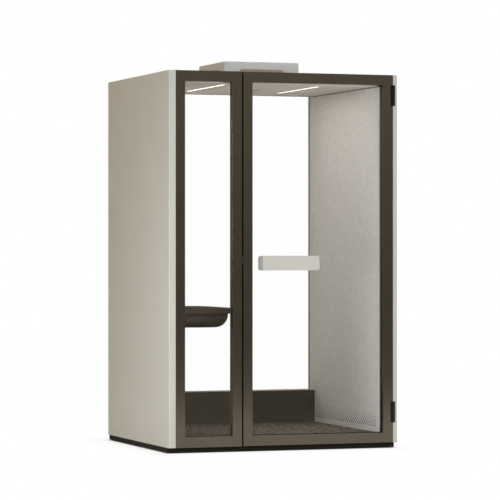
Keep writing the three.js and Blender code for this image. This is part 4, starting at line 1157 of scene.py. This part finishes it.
@dataclass
class Studio:
    """Pale floor, soft light and the camera at the photograph's place."""

    floor_reach: float = 40.0
    floor_colour: str = "#f1f0ee"
    shadow_steps: tuple[tuple[float, float], ...] = ((0.006, 0.35), (0.02, 0.8), (0.08, 0.95))
    white_reach: float = 0.3
    # Floor as seen in reflections: a painted brightness by distance from the plinth, painted shade near the pod and a
    # painted bright band about 1.7 m out.
    painted_reflection_reach: float = 5.0
    painted_reflection_steps: tuple[tuple[float, float], ...] = ((0.9, 0.72), (1.7, 1.0), (2.3, 0.94), (4.6, 0.1))
    painted_reflection_tint: str = "#f4faff"
    front_sky: str = "#fdfdee"
    front_light: float = 0.285
    rear_sky: str = "#ffce7a"
    rear_light: float = 0.36
    right_light: float = 0.28
    low_mirror: float = 0.11
    high_mirror: float = 0.8
    lamps: tuple[Softbox, ...] = (
        Softbox("front_left_softbox", (-2.5, -7.0, 2.2), (0.0, 0.0, 1.0), (3.0, 2.4), 114.0, "#f5faff"),
        Softbox("front_right_softbox", (4.0, -6.0, 1.4), (0.0, 0.0, 1.0), (3.0, 2.4), 147.0, "#f5faff"),
        Softbox("left_softbox", (-2.85, -1.75, 0.72), (-0.7, -0.4, 1.0), (1.4, 1.2), 36.5, "#eff8ff"),
        Softbox("left_warm_softbox", (-2.2, 1.3, 2.6), (-0.7, 0.6, 1.9), (0.8, 0.8), 2.2, "#ffb84a"),
        Softbox("rear_softbox", (1.2, 6.5, 2.2), (0.0, 0.0, 1.0), (3.0, 2.4), 60.0, "#ffffff"),
        Softbox("right_softbox", (5.0, 1.2, 1.6), (0.7, 0.2, 1.2), (2.4, 2.4), 54.0, "#fff9f2"),
        Softbox("top_softbox", (0.0, 0.0, 9.0), (0.0, 0.0, 2.2), (1.3, 1.1), 3.6, "#ffffff", 20.0),
    )
    strip_power: float = 1.55
    strip_colour: str = "#fffdfa"
    lens: float = 190.67
    camera_place: tuple[float, float, float] = (-5.2919, -14.855, 1.1441)
    camera_yaw: float = -19.589
    shift: float = 0.0038

    def build(self) -> None:
        """Sets up floor, world, lamps and camera."""
        self.floor()
        self.world()
        for lamp in self.lamps:
            lamp.hang()
        for node in ("left_light", "right_light"):
            self.strip(node)
        self.camera()

    def floor(self) -> None:
        """Lays the pale floor: it keeps a soft shadow near the pod and fades to white further out. In reflections it
        shows a painted ramp of brightness instead: painted shade near the pod, a painted bright band further out.
        """
        shape = Shape()
        bmesh.ops.create_grid(shape.bm, x_segments=1, y_segments=1, size=self.floor_reach)
        mesh = bpy.data.meshes.new("studio_floor")
        shape.bm.to_mesh(mesh)
        shape.bm.free()
        material = bpy.data.materials.new("pale_studio_floor")
        material.use_nodes = True
        tree = material.node_tree
        tree.nodes.clear()
        path = add_node(tree, "ShaderNodeLightPath")
        place = add_node(tree, "ShaderNodeTexCoord")
        low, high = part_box("base_plinth")
        middle = ((low.x + high.x) / 2, (low.y + high.y) / 2, 0.0)
        half = ((high.x - low.x) / 2, (high.y - low.y) / 2, 0.0)
        shifted = add_node(tree, "ShaderNodeVectorMath", {0: place.outputs["Object"]}, {1: middle}, operation="SUBTRACT")
        folded = add_node(tree, "ShaderNodeVectorMath", {0: shifted.outputs["Vector"]}, operation="ABSOLUTE")
        beyond = add_node(tree, "ShaderNodeVectorMath", {0: folded.outputs["Vector"]}, {1: half}, operation="SUBTRACT")
        outside = add_node(tree, "ShaderNodeVectorMath", {0: beyond.outputs["Vector"]}, {1: (0.0, 0.0, 0.0)},
                           operation="MAXIMUM")
        away = add_node(tree, "ShaderNodeVectorMath", {0: outside.outputs["Vector"]}, operation="LENGTH")
        share = add_node(tree, "ShaderNodeValToRGB", {"Fac": away.outputs["Value"]})
        ramp = share.color_ramp
        ramp.elements[0].color = (0.0, 0.0, 0.0, 1.0)
        ramp.elements[1].position = self.white_reach
        for reach, value in self.shadow_steps:
            ramp.elements.new(reach).color = (value, value, value, 1.0)
        # What reflections show of the floor is this painted ramp, not the lit floor: painted shade near the pod, a
        # painted bright band further out.
        reach = add_node(tree, "ShaderNodeMath", {0: away.outputs["Value"]}, {1: 1.0 / self.painted_reflection_reach},
                         operation="MULTIPLY")
        mirror = add_node(tree, "ShaderNodeValToRGB", {"Fac": reach.outputs["Value"]})
        mirror.color_ramp.interpolation = "EASE"
        tint = linear(self.painted_reflection_tint)[:3]
        for mark, (place_m, value) in zip(mirror.color_ramp.elements, (self.painted_reflection_steps[0], self.painted_reflection_steps[-1])):
            mark.position = place_m / self.painted_reflection_reach
            mark.color = (*(value * c for c in tint), 1.0)
        for place_m, value in self.painted_reflection_steps[1:-1]:
            mark = mirror.color_ramp.elements.new(place_m / self.painted_reflection_reach)
            mark.color = (*(value * c for c in tint), 1.0)
        mirrored = add_node(tree, "ShaderNodeMath", {0: path.outputs["Glossy Depth"]}, {1: 0.5},
                            operation="GREATER_THAN")
        through = add_node(tree, "ShaderNodeMath",
                           {0: path.outputs["Is Transmission Ray"], 1: mirrored.outputs["Value"]},
                           operation="GREATER_THAN")
        seen = add_node(tree, "ShaderNodeMath",
                        {0: path.outputs["Is Camera Ray"], 1: through.outputs["Value"]}, operation="MAXIMUM")
        part = add_node(tree, "ShaderNodeMath", {0: seen.outputs["Value"], 1: share.outputs["Color"]},
                        operation="MULTIPLY")
        plain = add_node(tree, "ShaderNodeBsdfDiffuse", None, {"Color": linear(self.floor_colour)})
        white = add_node(tree, "ShaderNodeEmission", None, {"Strength": 1.0})
        gloss = add_node(tree, "ShaderNodeEmission", {"Color": mirror.outputs["Color"]}, {"Strength": 1.2})
        first = add_node(tree, "ShaderNodeMixShader",
                         {0: mirrored.outputs["Value"], 1: plain.outputs["BSDF"],
                          2: gloss.outputs["Emission"]})
        second = add_node(tree, "ShaderNodeMixShader",
                          {0: part.outputs["Value"], 1: first.outputs["Shader"], 2: white.outputs["Emission"]})
        add_node(tree, "ShaderNodeOutputMaterial", {"Surface": second.outputs["Shader"]})
        mesh.materials.append(material)
        made = bpy.data.objects.new("studio_floor", mesh)
        bpy.context.scene.collection.objects.link(made)

    def world(self) -> None:
        """Makes the world: white where it is seen, and a soft light that is warm from behind on the left."""
        world = bpy.data.worlds.new("studio")
        world.use_nodes = True
        tree = world.node_tree
        tree.nodes.clear()
        path = add_node(tree, "ShaderNodeLightPath")
        way = add_node(tree, "ShaderNodeTexCoord")
        axes = add_node(tree, "ShaderNodeSeparateXYZ", {"Vector": way.outputs["Generated"]})
        ahead = add_node(tree, "ShaderNodeMapRange", {"Value": axes.outputs["Y"]},
                         {"From Min": 0.6, "From Max": -0.6}, interpolation_type="SMOOTHSTEP")
        side = add_node(tree, "ShaderNodeMapRange", {"Value": axes.outputs["X"]},
                        {"From Min": -0.5, "From Max": 0.1}, interpolation_type="SMOOTHSTEP")
        behind = add_node(tree, "ShaderNodeMix", {"Factor": side.outputs["Result"]},
                          {6: tuple(c * self.rear_light for c in linear(self.rear_sky)),
                           7: tuple(c * self.right_light for c in linear(self.front_sky))}, data_type="RGBA")
        light = add_node(tree, "ShaderNodeMix", {"Factor": ahead.outputs["Result"], 6: behind.outputs[2]},
                         {7: tuple(c * self.front_light for c in linear(self.front_sky))}, data_type="RGBA")
        mirror = add_node(tree, "ShaderNodeMapRange", {"Value": axes.outputs["Z"]},
                          {"From Min": -0.04, "From Max": 0.24, "To Min": self.low_mirror,
                           "To Max": self.high_mirror}, interpolation_type="SMOOTHSTEP")
        soft = add_node(tree, "ShaderNodeBackground", {"Color": light.outputs[2]})
        gloss = add_node(tree, "ShaderNodeBackground", {"Strength": mirror.outputs["Result"]},
                         {"Color": (1.0, 1.0, 1.0, 1.0)})
        white = add_node(tree, "ShaderNodeBackground", None, {"Color": (1.0, 1.0, 1.0, 1.0), "Strength": 1.0})
        direct = add_node(tree, "ShaderNodeMath", {0: path.outputs["Glossy Depth"]}, {1: 0.5}, operation="LESS_THAN")
        through = add_node(tree, "ShaderNodeMath",
                           {0: path.outputs["Is Transmission Ray"], 1: direct.outputs["Value"]}, operation="MULTIPLY")
        seen = add_node(tree, "ShaderNodeMath",
                        {0: path.outputs["Is Camera Ray"], 1: through.outputs["Value"]}, operation="MAXIMUM")
        mirrored = add_node(tree, "ShaderNodeMath", {0: path.outputs["Glossy Depth"]}, {1: 0.5},
                            operation="GREATER_THAN")
        first = add_node(tree, "ShaderNodeMixShader",
                         {0: mirrored.outputs["Value"], 1: soft.outputs["Background"],
                          2: gloss.outputs["Background"]})
        second = add_node(tree, "ShaderNodeMixShader",
                          {0: seen.outputs["Value"], 1: first.outputs["Shader"], 2: white.outputs["Background"]})
        add_node(tree, "ShaderNodeOutputWorld", {"Surface": second.outputs["Shader"]})
        bpy.context.scene.world = world

    def strip(self, node: str) -> None:
        """Adds the light that one ceiling strip throws down.

        Args:
            node: Name of the strip's solid.
        """
        low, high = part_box(node)
        middle = (low + high) / 2
        Softbox(f"{node}_beam", (middle.x, middle.y, low.z - 6.0 * MM), (middle.x, middle.y, 0.0),
                (high.x - low.x, high.y - low.y), self.strip_power, self.strip_colour).hang()

    def camera(self) -> None:
        """Places the camera, level, at the photograph's angle."""
        lens = bpy.data.cameras.new("photo_camera")
        lens.sensor_fit = "HORIZONTAL"
        lens.sensor_width = 36.0
        lens.lens = self.lens
        lens.shift_y = self.shift
        lens.clip_end = 200.0
        made = bpy.data.objects.new("photo_camera", lens)
        made.location = self.camera_place
        made.rotation_euler = (math.radians(90.0), 0.0, math.radians(self.camera_yaw))
        bpy.context.scene.collection.objects.link(made)
        bpy.context.scene.camera = made


def main() -> None:
    """Builds the sub-assemblies in order and sets the stage."""
    logging.basicConfig(level=logging.INFO, format="%(message)s")
    scene = bpy.context.scene
    scene.view_settings.view_transform = "Standard"
    groups = (Base(), SideWalls(), Floor(), Roof(), Glazing(), Doorway(), Door(), RearWall(), Ventilation(),
              Desk(), Control(), Studio())
    for group in groups:
        group.build()


if __name__ == "__main__":
    main()
